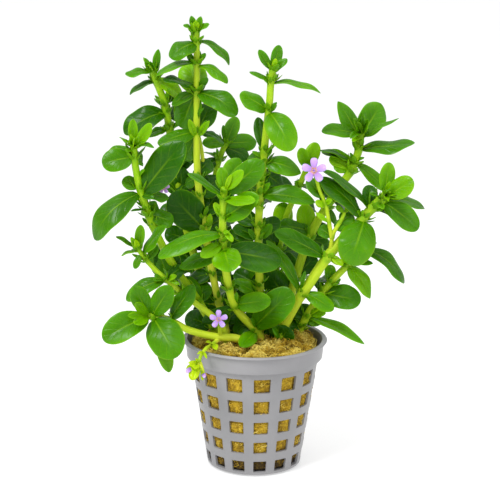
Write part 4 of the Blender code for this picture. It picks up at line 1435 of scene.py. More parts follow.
@dataclass
class RockWool:
    """The lump of mineral wool: a clumped body with loose fibres over it."""

    pot: NetPot
    top: float = 47.6
    foot: float = 1.15
    clear: float = 0.1
    bulge: float = 0.4
    brim: float = 24.7
    crust: float = 3.0
    slump: float = 1.2
    slump_from: float = 41.0
    slump_way: Vector = field(default_factory=lambda: Vector((0.93, -0.37)))
    clump: float = 6.5
    tuft: float = 1.7
    knob: float = 4.6
    knob_height: float = 3.4
    mound: Vector = field(default_factory=lambda: Vector((16.0, 5.0)))
    mound_reach: float = 9.5
    mound_height: float = 3.4
    around: int = 280
    rings: int = 130
    fibres: tuple[Fibres, ...] = (Fibres("top", True, 2.9e6, 3.9, 0.7, 7),
                                  Fibres("side", False, 1.5e6, 2.2, 0.08, 21))

    def outline(self) -> list[tuple[float, float]]:
        """Draws the lump's outline.

        Returns:
            Its points as (radius, height), from the middle below to the top.
        """
        room = [self.pot.wall_radius(z) - self.pot.wall - self.clear for z in (2.4, 16, 29, 42)]
        return [(0, self.foot), (14.4, self.foot), (room[0] - 0.4, 2.4), (room[1], 16),
                (room[2], 29), (room[3], 42.8), (self.brim - 0.3, self.top - 2.0),
                (self.brim - 1.6, self.top - 0.6), (17.5, self.top), (9, self.top + 0.3),
                (0, self.top + 0.3)]

    def filled(self, way: Vector, height: float) -> float:
        """How far inside a hole of the pot's wall a spot is.

        Args:
            way: The direction of the spot from the axis.
            height: Its height.

        Returns:
            0 outside the holes, to 1 well inside one.
        """
        turn = (math.atan2(way.x, -way.y) - self.pot.first_bay) / (math.tau / self.pot.bays)
        aside = abs(turn - round(turn)) * 2 / self.pot.hole_share
        along = min(abs(height - (foot + top) / 2) * 2 / (top - foot)
                    for foot, top in self.pot.rows())
        return clamped((1 - aside) * 4) * clamped((1 - along) * 4)

    def roughened(self, way: Vector, radius: float, height: float) -> tuple[Vector, float]:
        """A spot of the outline, clumped and tufted.

        Args:
            way: The direction of the spot from the axis, or nothing on the axis.
            radius: How far out it is.
            height: Its height.

        Returns:
            Its new place, and how furry the wool is there; the fibres' tone also follows this, as painted
            light on the knobs and painted shade between them.
        """
        spot = Vector((way.x * radius, way.y * radius, height))
        clump = noise.fractal(spot / self.clump, 0.9, 2.0, 4)
        tuft = noise.fractal(spot / self.tuft, 0.7, 2.1, 3)
        knobs = noise.voronoi(spot / self.knob + Vector((clump, tuft, 0.0)) * 0.3)[0][0]
        knobs = 0.5 - min(1.0, knobs)
        upward = clamped((height - self.top + self.crust) / self.crust)
        mound = math.exp(-((spot.xy - self.mound).length / self.mound_reach) ** 2)
        height += upward * (clump * 1.1 + tuft * 0.5 + knobs * self.knob_height
                            + mound * self.mound_height - 0.3)
        radius += (1 - upward) * (self.filled(way, height) * self.bulge - 0.1
                                  + min(0.0, clump * 0.3 + tuft * 0.3 + knobs * 0.6))
        slump = clamped((height - self.slump_from) / 3.0) * self.slump
        radius -= upward * 0.2 + slump * max(0.0, way.dot(self.slump_way)) ** 2
        furry = max(0.1, min(1.0, 0.5 + knobs * 1.3 + tuft * 0.4)) * (height > 3.0)
        furry *= clamped((self.brim - 0.6 - radius) / 1.2) if upward else 1
        return Vector((*(way * max(0.0, radius)), height)), furry

    def body(self) -> bpy.types.Mesh:
        """Builds the clumped lump.

        Returns:
            Its mesh in metres, with how furry it is at each point.
        """
        outline = self.outline()
        spans = [0.0]
        for start, end in zip(outline, outline[1:]):
            spans.append(spans[-1] + math.dist(start, end))
        spots: list[tuple[Vector, float]] = []
        for ring in range(self.rings + 1):
            goal = spans[-1] * ring / self.rings
            k = max(i for i, span in enumerate(spans[:-1]) if span <= goal)
            radius, height = between(outline[k], outline[k + 1],
                                     (goal - spans[k]) / (spans[k + 1] - spans[k]))
            for spoke in range(self.around if 0 < ring < self.rings else 1):
                turn = math.tau * spoke / self.around
                way = Vector((math.sin(turn), -math.cos(turn))) * (radius > 0.01)
                spots.append(self.roughened(way, radius, height))
        last = len(spots) - 1
        faces = []
        for here in range(self.around):
            beside = (here + 1) % self.around
            faces.append((0, 1 + beside, 1 + here))
            for low in range(1, last - self.around, self.around):
                high = low + self.around
                faces.append((low + here, low + beside, high + beside, high + here))
            faces.append((last - self.around + here, last - self.around + beside, last))
        mesh = bpy.data.meshes.new("wool")
        mesh.from_pydata([point * MM for point, _ in spots], [], faces)
        carry(mesh, "FLOAT", {"furry": [furry for _, furry in spots]})
        mesh.shade_smooth()
        return mesh

    def part_of(self, mesh: bpy.types.Mesh, top: bool) -> bpy.types.Mesh:
        """A part of the lump.

        Args:
            mesh: The lump.
            top: Whether the part is its top, or the rest.

        Returns:
            The part's faces as a mesh of their own.
        """
        bm = bmesh.new()
        bm.from_mesh(mesh)
        level = (self.top - self.crust) * MM
        gone = [f for f in bm.faces if (f.calc_center_median().z > level) != top]
        bmesh.ops.delete(bm, geom=gone, context="FACES")
        return poured(bm, "wool_part")

    def make(self, tree: FibreTree, finish: WoolFinish) -> None:
        """Builds the lump's piece and those of its fibres.

        Args:
            tree: What grows the fibres.
            finish: The wool's looks.
        """
        body = self.body()
        body.materials.append(finish.lump())
        look = finish.fibre()
        for kind in self.fibres:
            name = f"wool_fibres_{kind.name}"
            strands = tree.run(self.part_of(body, kind.top), name, {
                "Density": kind.density, "Seed": kind.seed, "Length": kind.length * MM,
                "Lift": kind.lift, "Material": look}, ("shade",))
            piece(name, strands)
        body.attributes.remove(body.attributes["furry"])
        piece("wool_lump", body, ["rock_wool"])


@dataclass
class Lamp:
    """A square soft light: where it stands, its side in metres and its power."""

    name: str
    place: Place
    size: float
    power: float


@dataclass
class Studio:
    """The pale floor, the soft light and the camera."""

    lens: float = 119.7
    sensor: float = 36.0
    pitch: float = 76.12
    roll: float = 0.44
    stand: Place = (-0.00209, -0.6057, 0.2331)
    aim: Place = (0.0, 0.0, 0.08)
    horizon: float = 0.55
    zenith: float = 1.2
    floor_size: float = 3.0
    floor_height: float = -0.0002
    lamps: tuple[Lamp, ...] = (Lamp("key", (-0.4, -0.45, 0.75), 0.28, 5.2),
                               Lamp("fill", (0.45, -0.7, 0.35), 0.35, 1.3))

    def camera(self) -> None:
        """Sets the camera where the picture was taken from."""
        data = bpy.data.cameras.new("camera")
        data.lens = self.lens
        data.sensor_width = self.sensor
        data.clip_start = 0.01
        item = shown("camera", data)
        item.rotation_euler = (Matrix.Rotation(math.radians(self.pitch), 3, "X")
                               @ Matrix.Rotation(math.radians(self.roll), 3, "Z")).to_euler()
        item.location = self.stand
        bpy.context.scene.camera = item

    def light(self, lamp: Lamp) -> None:
        """Adds a lamp that faces the plant.

        Args:
            lamp: Its sizes.
        """
        data = bpy.data.lights.new(lamp.name, "AREA")
        data.energy = lamp.power
        data.size = lamp.size
        item = shown(lamp.name, data)
        item.location = lamp.place
        way = Vector(self.aim) - item.location
        item.rotation_euler = way.to_track_quat("-Z", "Y").to_euler()

    def floor(self) -> None:
        """Lays the floor just under the pot."""
        bm = bmesh.new()
        bmesh.ops.create_grid(bm, x_segments=8, y_segments=8, size=self.floor_size)
        mesh = poured(bm, "floor")
        mesh.materials.append(FloorFinish().material())
        item = shown("floor", mesh)
        item.location.z = self.floor_height

    def sky(self) -> None:
        """Sets a white world that is bright overhead and dimmer toward the horizon."""
        world = bpy.data.worlds.new("studio")
        world.use_nodes = True
        graph = Graph(world.node_tree)
        way = graph.made("ShaderNodeTexCoord", output="Generated")
        up = graph.value("ShaderNodeSeparateXYZ", {0: way}, "Z")
        backdrop = graph.tree.nodes["Background"].inputs
        backdrop["Color"].default_value = WHITE
        graph.feed(backdrop["Strength"],
                   self.horizon + (self.zenith - self.horizon) * up.step(0.0, 1.0))
        bpy.context.scene.world = world

    def make(self) -> None:
        """Builds the floor, the light and the camera."""
        self.camera()
        self.floor()
        self.sky()
        for lamp in self.lamps:
            self.light(lamp)
        bpy.context.scene.view_settings.view_transform = "Standard"


TALL_LEFT = Shoot(
    "tall_left", (1.5, 1.15), 0.05,
    [(-8.5, 40, 6.5), (-9.8, 46, 6), (-11.5, 54, 5), (-13.5, 62, 4), (-15.5, 71, 3.5), (-17.6, 82, 3),
     (-19.3, 93, 2.5), (-21, 104, 2), (-21.9, 114, 1.5), (-22.1, 130, 0), (-22, 150, -1),
     (-22.1, 160, -1.7), (-22.2, 166.7, -2.2)],
    [(-22.1, 165.1, -27, 167.3, -5, 2.6, 60), (-22.1, 165.1, -17.5, 167.8, -5, 2.6, 50),
     (-22.2, 166.1, -24.1, 170.8, -3, 2.6, 15, MID, 0.5, 0.4),
     (-22.2, 166.1, -20.5, 170.6, -4, 2.6, 20, MID, 0.5, 0.4),
     (-22, 161, -31.6, 155.3, -7, 7.8, 45, MID, 1.8), (-22, 161.5, -10.2, 152.9, 0, 5.4, 72, MID, 2.3),
     (-22, 153.6, -37, 148.6, -6, 6.4, 76, MID, 1.6, 0.3),
     (-22, 153, -10.8, 146.2, -6, 5.4, 70, MID, 2.2), (-21.8, 143, -24.8, 153.6, 8, 10.4, 15, YOUNG),
     (-22, 144.6, -34.4, 147.4, -7, 6.4, 66, DARK, 1), (-22, 143.5, -7.2, 134.6, -9, 8.4, 50, MID, 2.7),
     (-22.6, 143.5, -27.6, 129.5, 4, 10.2, 30, SHADE, 0.8), (-22, 127.8, -36.5, 123.5, -4, 7, 40, MID, 1),
     (-22, 128.5, -16.8, 138.8, 9, 8, 20, DARK), (-22, 127.5, -12, 124, 3, 5.5, 70, DARK, 0.8),
     (-22, 126, -26.3, 117.3, 6, 6, 30), (-21.6, 110.5, -26.4, 108.4, 5, 5, 40, DARK),
     (-21.6, 110.5, -16.5, 105.5, 12, 6, 50, DARK), (-19.2, 91.8, -31.8, 104.6, -3, 12.5, 15, DARK, 1),
     (-18.6, 90, -17, 97.3, 1, 2.6, 15, YOUNG), (-19, 91.5, -10, 96, 12, 8, 40, DARK),
     (-16, 74, -27, 71, 8, 8, 50, DARK), (-15.8, 73, -9, 71.5, 8, 6, 50, DARK),
     (-11.8, 55, -5.5, 61, 12, 7.5, 30, DARK), (-11.8, 55, -19.5, 61, 5.4, 6.5, 20, DARK),
     (-18, 84, -17, 86.5, 18, 8, 60, DARK), (-14, 64, -22, 67.5, 8, 6, 20, DARK),
     (-18.2, 87, -13, 90.5, 10, 6, 20, DARK), (-22, 144.5, -18, 148.2, -3, 2.6, 20),
     (-22, 133.8, -19.4, 137, -3, 1.5), (-22, 127.3, -25.2, 132.6, -3, 2, 20),
     (-22, 127.3, -18.4, 132.4, -3, 2, 20), (-22, 153, -25.5, 157.5, 0, 2.4, 20),
     (-22, 153.3, -18.8, 157.2, -2, 2, 20), (-22.2, 166.1, -22.4, 169.3, -6, 1.8, 20, YOUNG, 0.5, 0.6),
     (-22.2, 166.1, -23.3, 168.5, -6, 1.6, 20, YOUNG, 0.5, 0.6),
     (-22.2, 166.1, -21.4, 168.4, -6, 1.6, 20, YOUNG, 0.5, 0.6),
     (-22.2, 126.2, -24.9, 132.9, -4, 2.6, 15, YOUNG, 0.5, 0.4),
     (-22, 126.7, -17.4, 132.4, -4, 2.6, 15, YOUNG, 0.5, 0.4), (-22, 104, -29, 109.6, 12, 8, 30, DARK),
     (-20.2, 96.7, -14.2, 105.1, 12, 8.5, 30, DARK), (-21.2, 103.7, -13.7, 111.4, 10, 8.5, 20, DARK),
     (-19.9, 97.4, -14.3, 103.8, 12, 8.5, 20, DARK),
     (-23.6, 142.4, -31.3, 138.2, 2, 5, 50, MID, 0.5, 0.3), (-10.1, 49.4, -11.4, 54.7, 7, 7, 20, DARK),
     (-10.1, 49.4, -5.7, 56.1, 9, 7, 20, DARK), (-21.8, 112.6, -17.2, 117.6, 7, 7, 30, DARK),
     (-21.8, 112.6, -19, 110.1, 8, 6, 30, DARK), (-22.1, 102.5, -28.3, 99.2, 7, 7, 30, DARK)],
    own=5, pale=0.85,
    twigs=[[(-20.7, 111.8, 3), (-20, 113.2, 5), (-20, 119.5, 5.5), (-21.2, 126.7, 2)]])

UPPER_LEFT = Shoot(
    "upper_left", (1.75, 1.3), 0.1,
    [(-8, 40, 12.5), (-9.2, 46, 12), (-12.5, 54, 11.5), (-17, 64, 10.5), (-22, 78, 9.5), (-26, 92, 8.5),
     (-28.3, 105, 7.5), (-29.8, 113, 6.5), (-31, 121, 5), (-32.3, 130, 3.5), (-33.8, 138.5, 2),
     (-35.6, 143.5, 1), (-37.3, 148, 0), (-38.3, 152, -1)],
    [(-38, 151, -36, 158.6, -2, 2.9, 15, MID, 0.5, 0.5), (-38, 151, -48.2, 149.2, -4, 4.8, 70, MID, 0.4),
     (-37.5, 146.6, -46.6, 141.6, 0, 5.2, 70, DARK, 1),
     (-37.2, 147.3, -27.2, 140.6, 6, 6.4, 40, YOUNG, 0.8),
     (-33.1, 135.4, -48.8, 127.2, -1, 10, 38, DARK, 2.8), (-33.6, 138.5, -28.5, 145, 9, 4, 20),
     (-32.2, 129, -39.8, 126, -1, 3, 80), (-30, 114, -26.3, 118.6, 4, 2.2),
     (-30, 113.5, -24, 110.5, 12, 5.5, 50, DARK), (-31, 121, -38, 119, 14, 6, 60, DARK),
     (-27, 97, -36, 98.5, 10, 7, 35, DARK), (-27, 97, -19, 101, 17, 7, 50, DARK),
     (-22, 78, -31, 84, 13, 8, 45, DARK), (-30, 113.5, -23, 121.5, 9, 7, 30, DARK),
     (-24, 85, -23, 87, 21, 8, 60, DARK), (-25, 88, -34, 90, 10, 7, 20, DARK),
     (-23.6, 83, -17.5, 86.5, 18, 6, 20, DARK), (-33, 133.5, -27, 135.5, 10, 6.5, 20, DARK),
     (-38, 151, -41, 155.3, -2, 1.8, 20), (-37.2, 147.5, -34.2, 149.8, -1, 1.4),
     (-32, 129, -28.3, 131.6, 5, 2), (-34, 139.6, -32, 144.5, 0, 1.6, 20),
     (-38.4, 150.2, -41.1, 154.2, -6, 2.4, 20, MID, 0.5, 0.5),
     (-38.4, 150.2, -39.1, 154.1, -7, 2, 20, SHADE, 0.5, 0.5),
     (-38.4, 150.2, -40, 152.7, -9, 1.8, 30, YOUNG, 0.5, 0.5),
     (-33.1, 128.8, -39.3, 127.1, 4, 4, 50, SHADE), (-27.7, 104.9, -34.5, 112.5, 6, 6, 30, DARK),
     (-25.2, 107.5, -27.7, 115, 5, 6, 30, DARK)],
    own=1, pale=0.2)

TALL_RIGHT = Shoot(
    "tall_right", (1.6, 1.3), -0.04,
    [(3.2, 40, 4.5), (3, 46, 4.5), (2.6, 54, 4), (2, 62, 3.5), (1.6, 71, 3), (1.2, 81, 2), (1, 91, 1),
     (1.3, 100, 0), (1.6, 108, -1), (2.6, 116, -1.5), (3, 122, -2), (3.8, 131, -2), (4.7, 140, -2),
     (5.1, 147, -2), (5.9, 152.5, -2)],
    [(5.9, 151.5, 0.5, 158.6, -3, 3.2, 20), (5.9, 151.5, 8, 160.4, 0, 4, 15),
     (5.9, 151.5, 11, 155.3, -3, 2.8, 30), (5.4, 147.3, -2.8, 150.5, -3, 3.2, 60),
     (5.4, 146.2, 23.4, 142.8, -1, 4.8, 76, MID, 1.9, 0.5),
     (4.6, 136.8, -6.3, 142.2, -4, 7.8, 46, MID, 0.8), (4.4, 135.8, 13, 121.4, -13, 10, 30, MID, 2.6),
     (3, 121.5, 0.4, 133.8, 4, 4.5, 10, DARK), (2.9, 117.1, 16.6, 112.9, -3, 7.8, 45, MID, 1.5, 0.7),
     (1.5, 105, 22, 101.8, -4, 7.8, 45, SHADE, 1.6, 0.4), (1.5, 105, -8.5, 107, 4, 5, 40, DARK),
     (1.6, 106, 5.2, 109.2, -3, 2.2, 30), (1.7, 109.5, 13.5, 108.3, 9, 7, 40, DARK),
     (1, 88, -8.3, 92.3, 3, 6, 50, DARK), (1, 88, 6, 93.4, -2, 3.6, 20),
     (1, 89, 8.5, 95.6, 8, 6.5, 40, DARK), (1.6, 70, -8, 74.5, 8, 6.5, 30, DARK),
     (1.8, 66, -7.9, 71.4, 0, 5, 30), (1, 93, -7.5, 98.5, 9, 7, 40, DARK),
     (1.3, 100, 2, 103, 15, 8, 60, DARK), (5.9, 151.5, 6.9, 155.5, -5, 2, 20, YOUNG),
     (5.3, 146, 2.2, 148, -4, 1.4), (4.5, 136, 7.4, 139.4, -4, 1.8), (2.8, 118.5, -1.6, 121, -3, 1.6),
     (2.9, 118.5, 5.8, 122, -3, 1.8), (1, 87.5, -2.8, 91.6, -1, 2, 20),
     (0.7, 105.5, -6.2, 108.8, 6, 7.5, 30, DARK), (0.1, 87.6, -8.5, 92, 8, 8.5, 30, DARK),
     (1.1, 77.6, -6.4, 73, 12, 8, 30, DARK), (5.8, 48.6, 3.2, 53.2, 6, 8, 20, DARK),
     (7, 48.6, 10.8, 54.2, 9, 9, 20, DARK), (5.8, 48.6, 8.3, 51.6, -1, 6, 20, DARK),
     (2, 114.6, -1.7, 120.3, 5, 7, 30, SHADE), (2, 112.8, 10.1, 107.1, 5, 8, 40, DARK)],
    own=4, pale=0.5)

UPPER_RIGHT = Shoot(
    "upper_right", (1.8, 1.5), 0.14,
    [(9.3, 40, 9), (9.6, 46, 8.8), (10.8, 53, 8.5), (12.5, 62, 8), (15, 72, 7.5), (17.5, 81, 6.5),
     (20, 88, 5.5), (22.7, 94, 4.5), (25.6, 99, 3.5), (28.6, 103.7, 2.5), (31.6, 108.7, 2),
     (34.9, 113.6, 1.5), (36.7, 118, 1), (37.9, 122.5, 0.5), (38.4, 128.5, 0)],
    [(38.2, 127.5, 29.7, 139.9, -1, 7, 45, MID, 0.5, 0.7), (38.2, 127.5, 45.6, 139.2, 9, 10, 5),
     (38.2, 127.5, 38.6, 136, -6, 3.6, 25, SHADE, 0.5, 0.6),
     (38, 126.8, 52.4, 133.8, -6, 4, 66, MID, 0.5, 0.4), (38.1, 127, 24, 128.6, -4, 7, 52, MID, 1.6),
     (37.6, 122.4, 58.5, 124.7, -3, 8, 58, SHADE, -0.2, 0.3),
     (35.9, 116.8, 23.5, 121.6, -1, 5, 80, DARK, 1.2), (36, 117.4, 48.3, 106.7, 6, 5.2, 35, MID, 1.7),
     (34.6, 114.8, 27, 119, 3, 4.6, 20, YOUNG), (20.3, 88.5, 18, 101.3, 9, 7, 15, YOUNG),
     (28.3, 103.2, 20.5, 107.5, 9, 4, 50, DARK), (28.3, 103.2, 35, 98, 13, 7, 50, DARK),
     (20, 88, 28, 84.5, 9, 5, 30, DARK), (26.5, 100.5, 29.8, 93.5, 7, 2.4, 20),
     (12.8, 63.5, 4.8, 75, 7, 9.5, 20, DARK), (11.2, 55.5, 19.5, 61.5, 14, 7.5, 30, DARK),
     (15, 72, 17, 74, 21, 8, 60, DARK), (15.8, 75, 22.5, 81.5, 8, 7, 20, DARK),
     (20.6, 89.5, 27, 93, 8, 6, 20, DARK), (38, 126.5, 35.3, 125, -5, 2, 45, YOUNG),
     (35.8, 117.5, 34.6, 120.8, -2, 1.5), (36, 118, 40, 119, -1, 1.5),
     (37.8, 128.7, 35.7, 133.5, -10, 3.2, 30, MID, 0.5, 0.5),
     (37.8, 128.7, 41.3, 133.3, -10, 3.4, 30, MID, 0.5, 0.5),
     (37.8, 128.7, 39, 134.9, -12, 2.8, 30, SHADE, 0.5, 0.5),
     (37.8, 128.7, 37.3, 132.4, -14, 2.4, 40, MID, 0.5, 0.5),
     (37.8, 128.4, 34.6, 126, -10, 3, 50, MID, 0.5, 0.5), (19.8, 91.2, 8.3, 93.1, 6, 7.8, 50),
     (32.8, 118.7, 24.1, 120.8, 1, 5, 55), (33.8, 114, 28.7, 115.7, 2, 4.2, 40, FRESH)],
    own=4, pale=0.3)

RIGHT = Shoot(
    "right", (1.65, 1.25), -0.07,
    [(14.6, 40, 4.5), (15, 46, 4.3), (16.7, 51.5, 3.8), (19, 56.5, 3.2), (21.7, 61.5, 2.6), (25, 66.6, 2),
     (28.2, 70.8, 1.5), (31, 74, 1), (34, 77.2, 0.5), (37.3, 81, 0), (40.2, 85.2, -0.5)],
    [(39.8, 84.8, 56.2, 71, 2, 7.8, 56, SHADE, 3.2, 0.1),
     (34.6, 78, 43.5, 64.8, -3, 6.6, 52, FRESH, 2.2, 0.9),
     (36.5, 80, 44.2, 78.6, -4, 2.8, 50, MID, 0.5, 0.5), (34.2, 77.5, 28, 80, 0, 3, 50, YOUNG),
     (29, 71, 28.2, 78, 5, 4.2, 15), (25.8, 66.6, 40, 64, -1, 9, 25, SHADE),
     (26.3, 67.3, 23, 71.5, 7, 3.6, 30, DARK), (20.3, 57.8, 41.8, 46.8, -5, 5.4, 70, MID, 1.3, 0.6),
     (20.8, 58.5, 26.8, 59, -1, 3, 25, YOUNG), (18.8, 55.5, 25.3, 56.3, 5, 3.8, 30, DARK),
     (19.5, 57, 12.5, 62.5, 6, 5, 30, DARK), (28.2, 70, 25, 73, 12, 6, 30, DARK),
     (34.4, 77.5, 31.5, 79.8, -2, 1.6, 30, YOUNG), (20.8, 58.6, 24.8, 61.6, -2, 1.6, 30, YOUNG),
     (17.7, 54.3, 12.6, 58.8, 8, 7, 25, DARK), (19, 56.3, 25.3, 55.8, 4, 4.6, 30),
     (19, 56.3, 18.2, 62.8, 6, 7, 25, DARK), (19, 56.3, 13.2, 62.1, 9, 7, 25, DARK),
     (16.5, 51.6, 13.9, 56.9, 8, 7, 20, DARK)],
    own=4, pale=0.35)

CENTRE = Shoot(
    "centre", (1.6, 1.3), -0.1,
    [(3.5, 40, 1), (3.3, 46, 0.5), (1.4, 50.5, -0.5), (-1.3, 53.8, -1.8), (-4.4, 57, -3.2),
     (-7.4, 61, -5), (-9.2, 65.5, -7), (-10.4, 71, -9), (-11.6, 78, -11), (-12.3, 86, -13),
     (-12.4, 95, -14.3), (-12.1, 103, -15.2), (-11.8, 107.5, -15.8)],
    [(-11.8, 106.5, -12.9, 115, -13, 4.3, 10, FRESH), (-11.8, 106.5, -4.8, 113.8, -20, 4.2, 25, FRESH),
     (-11.8, 106, -6.2, 118.3, -2, 8, 5), (-11.8, 105.5, 2.6, 117.3, -13.5, 8.8, 20),
     (-12.1, 104, -25.5, 112.4, -18, 6, 72), (-12.1, 103, -0.4, 102, -28, 5, 45, FRESH),
     (-12.3, 97, -15.6, 101.5, -16, 2.6, 30, YOUNG), (-12.4, 95.5, 1.2, 103.8, -21, 9, 30, MID, 0.8),
     (-12.5, 89.8, -36.6, 80.2, -20, 9.6, 66, MID, 3), (-12.4, 91, -8.6, 86.6, -19, 2.4, 50, YOUNG),
     (-12.4, 86.3, -20.6, 80.6, -21, 4.6, 25, FRESH), (-12.2, 84.2, -9.6, 74.8, -25, 10.2, 40, FRESH),
     (-12.2, 83, 9.7, 79, -9, 10.8, 32, DARK, 1), (-12, 81.5, -28.8, 76.6, -8, 7.4, 56, MID, 1, 0.4),
     (-7.7, 62, 5.9, 64, -11, 7.3, 25, MID, 0.6), (-7.7, 61.5, -20, 55, -2.4, 5, 15, DARK),
     (0.4, 52, -5.4, 45.4, -14, 5.8, 25, FRESH, 1, 0.3),
     (-0.8, 53.2, 13.9, 67.6, -9, 11.4, 20, SHADE, 2, -0.2),
     (-11.8, 106.5, -9.3, 112.2, -19, 1.8, 20, YOUNG), (-12.4, 94, -9, 97, -17, 1.6, 45, YOUNG),
     (-7.9, 62.4, -7, 67, -8, 1.6), (-0.4, 53, -1.6, 56.8, -5, 1.6),
     (-12.7, 68.4, -7.6, 70.4, 6, 5, 30, DARK), (-4.4, 49.8, -7.6, 54.7, 6, 8, 20, DARK)],
    own=8, pale=0.45)

RIGHT_FORK = Shoot(
    "right_fork", (2.1, 1.8), -0.07,
    [(8.6, 40, -1), (8.9, 46, -1.2), (10.2, 52, -1.6), (12.4, 57, -2.2), (15, 62, -3), (17.6, 66.5, -4),
     (19.9, 69.9, -4.6), (22.2, 73.5, -5.2), (25.2, 78.4, -5.6), (27.5, 81.7, -5.8), (29.6, 84.3, -5.4),
     (32.4, 87.7, -4.6), (36.3, 91.9, -3.4), (39.7, 95.6, -2.4), (42.7, 99.2, -2), (46.2, 102.6, -2),
     (49.3, 105.8, -2)],
    [(48.7, 105.3, 49.2, 117.3, -1, 5.6, 12, FRESH), (48.7, 105.3, 58.3, 110.8, -5, 7.6, 25, FRESH),
     (47.7, 104.5, 62.8, 99.9, 4, 7, 62, MID, 1.2), (46.3, 103, 60.7, 91.7, -6, 8.2, 40, MID, 1.5),
     (43.6, 100.5, 58.2, 91.6, 1, 6, 72, MID, 1.2), (43.1, 100.5, 42, 108.7, 3, 5.6, 15, DARK),
     (42.4, 99.5, 24.3, 114, -6, 6.5, 65, DARK, 1.6), (40.2, 96, 23.3, 111, -6, 8, 50, DARK, 2),
     (40.2, 95.3, 35.4, 78, -12, 13.3, 20, MID, 4), (17.4, 67, 4, 87.3, 1, 6, 65, MID, 1.5),
     (18.2, 67.5, 29.7, 60.2, -9, 6, 35, FRESH, 0.8), (26.6, 80.5, 7, 90.3, -9, 8, 45, DARK, 1),
     (27.5, 82, 32.8, 77.6, -10, 2.8, 45, YOUNG), (28.5, 89, 23.6, 92.2, -3, 5, 30),
     (48.7, 105.3, 52.4, 105.2, -5, 1.6, 45, YOUNG), (48.7, 105.3, 49.8, 110, -6, 1.6, 45, YOUNG),
     (40.2, 95.6, 37.7, 98.8, -4, 1.8), (44, 101, 47.3, 99.2, -4, 2), (18, 67.5, 18.7, 75.5, -7, 1.6),
     (25.9, 101.5, 22.5, 106.8, -4, 2, 20), (25.9, 101.5, 28.2, 103.2, -10, 2, 20, YOUNG),
     (27.5, 94.5, 22.3, 98, -7, 1.8, 20, YOUNG), (33, 98, 35.3, 101.6, -2, 2, 20, YOUNG),
     (33, 98, 29.8, 100.6, -4, 2, 20, YOUNG), (48.9, 104, 47.7, 106.5, -14, 2.2, 30, YOUNG, 0.5, 0.6),
     (48.9, 104, 50.5, 107.6, -15, 2.4, 30, FRESH, 0.5, 0.6),
     (48.9, 104, 52.5, 105.1, -16, 2.2, 40, FRESH, 0.5, 0.6),
     (48.9, 104, 49.3, 102.5, -18, 1.8, 60, YOUNG, 0.5, 0.6),
     (47.4, 103, 42.4, 105.5, -10, 2.6, 50, MID, 0.5, 0.4),
     (45.6, 101.7, 47.5, 99.5, -12, 2.6, 50, FRESH, 0.5, 0.4), (12.1, 49.6, 16.1, 56.6, 6, 7, 25, DARK),
     (12.1, 49.3, 7, 55.5, 8, 7, 25, DARK), (12.1, 49.9, 14.9, 54.9, 5, 8, 20, DARK),
     (11.4, 50.9, 6.5, 53, -6, 7, 35, SHADE, 0.5, 0.2), (11.5, 49.9, 8.9, 54.2, -4, 7, 25, DARK),
     (9.6, 48.9, 13, 53.2, -5, 8, 25, DARK), (24.7, 104.1, 19.2, 110.7, -3, 5.4, 30, SHADE),
     (25.1, 100.3, 22, 102.2, -8, 3, 40, YOUNG, 0.5, 0.4),
     (25.7, 100.3, 28.2, 104.1, -8, 3, 40, FRESH, 0.5, 0.4), (30.6, 90.8, 33.2, 94.9, -4, 4.6, 30),
     (31.4, 94.6, 36.1, 97.5, -2, 6, 35, SHADE)],
    own=8, pale=0.45,
    twigs=[[(27.9, 82.6, -5.8), (28.5, 87.3, -6.2), (27.9, 91.4, -6.2), (27, 96.2, -6.2),
            (25.9, 101.5, -6.3), (23.8, 106, -7), (22.4, 110.3, -8), (21.6, 113, -8.8)],
           [(28.5, 88, -6.2), (29.2, 90.5, -6), (30.8, 93.2, -5.5), (32.2, 95.8, -5),
            (33.2, 98.4, -4.5)]],
    flowers=[((21.4, 114, -10.2), 1)])

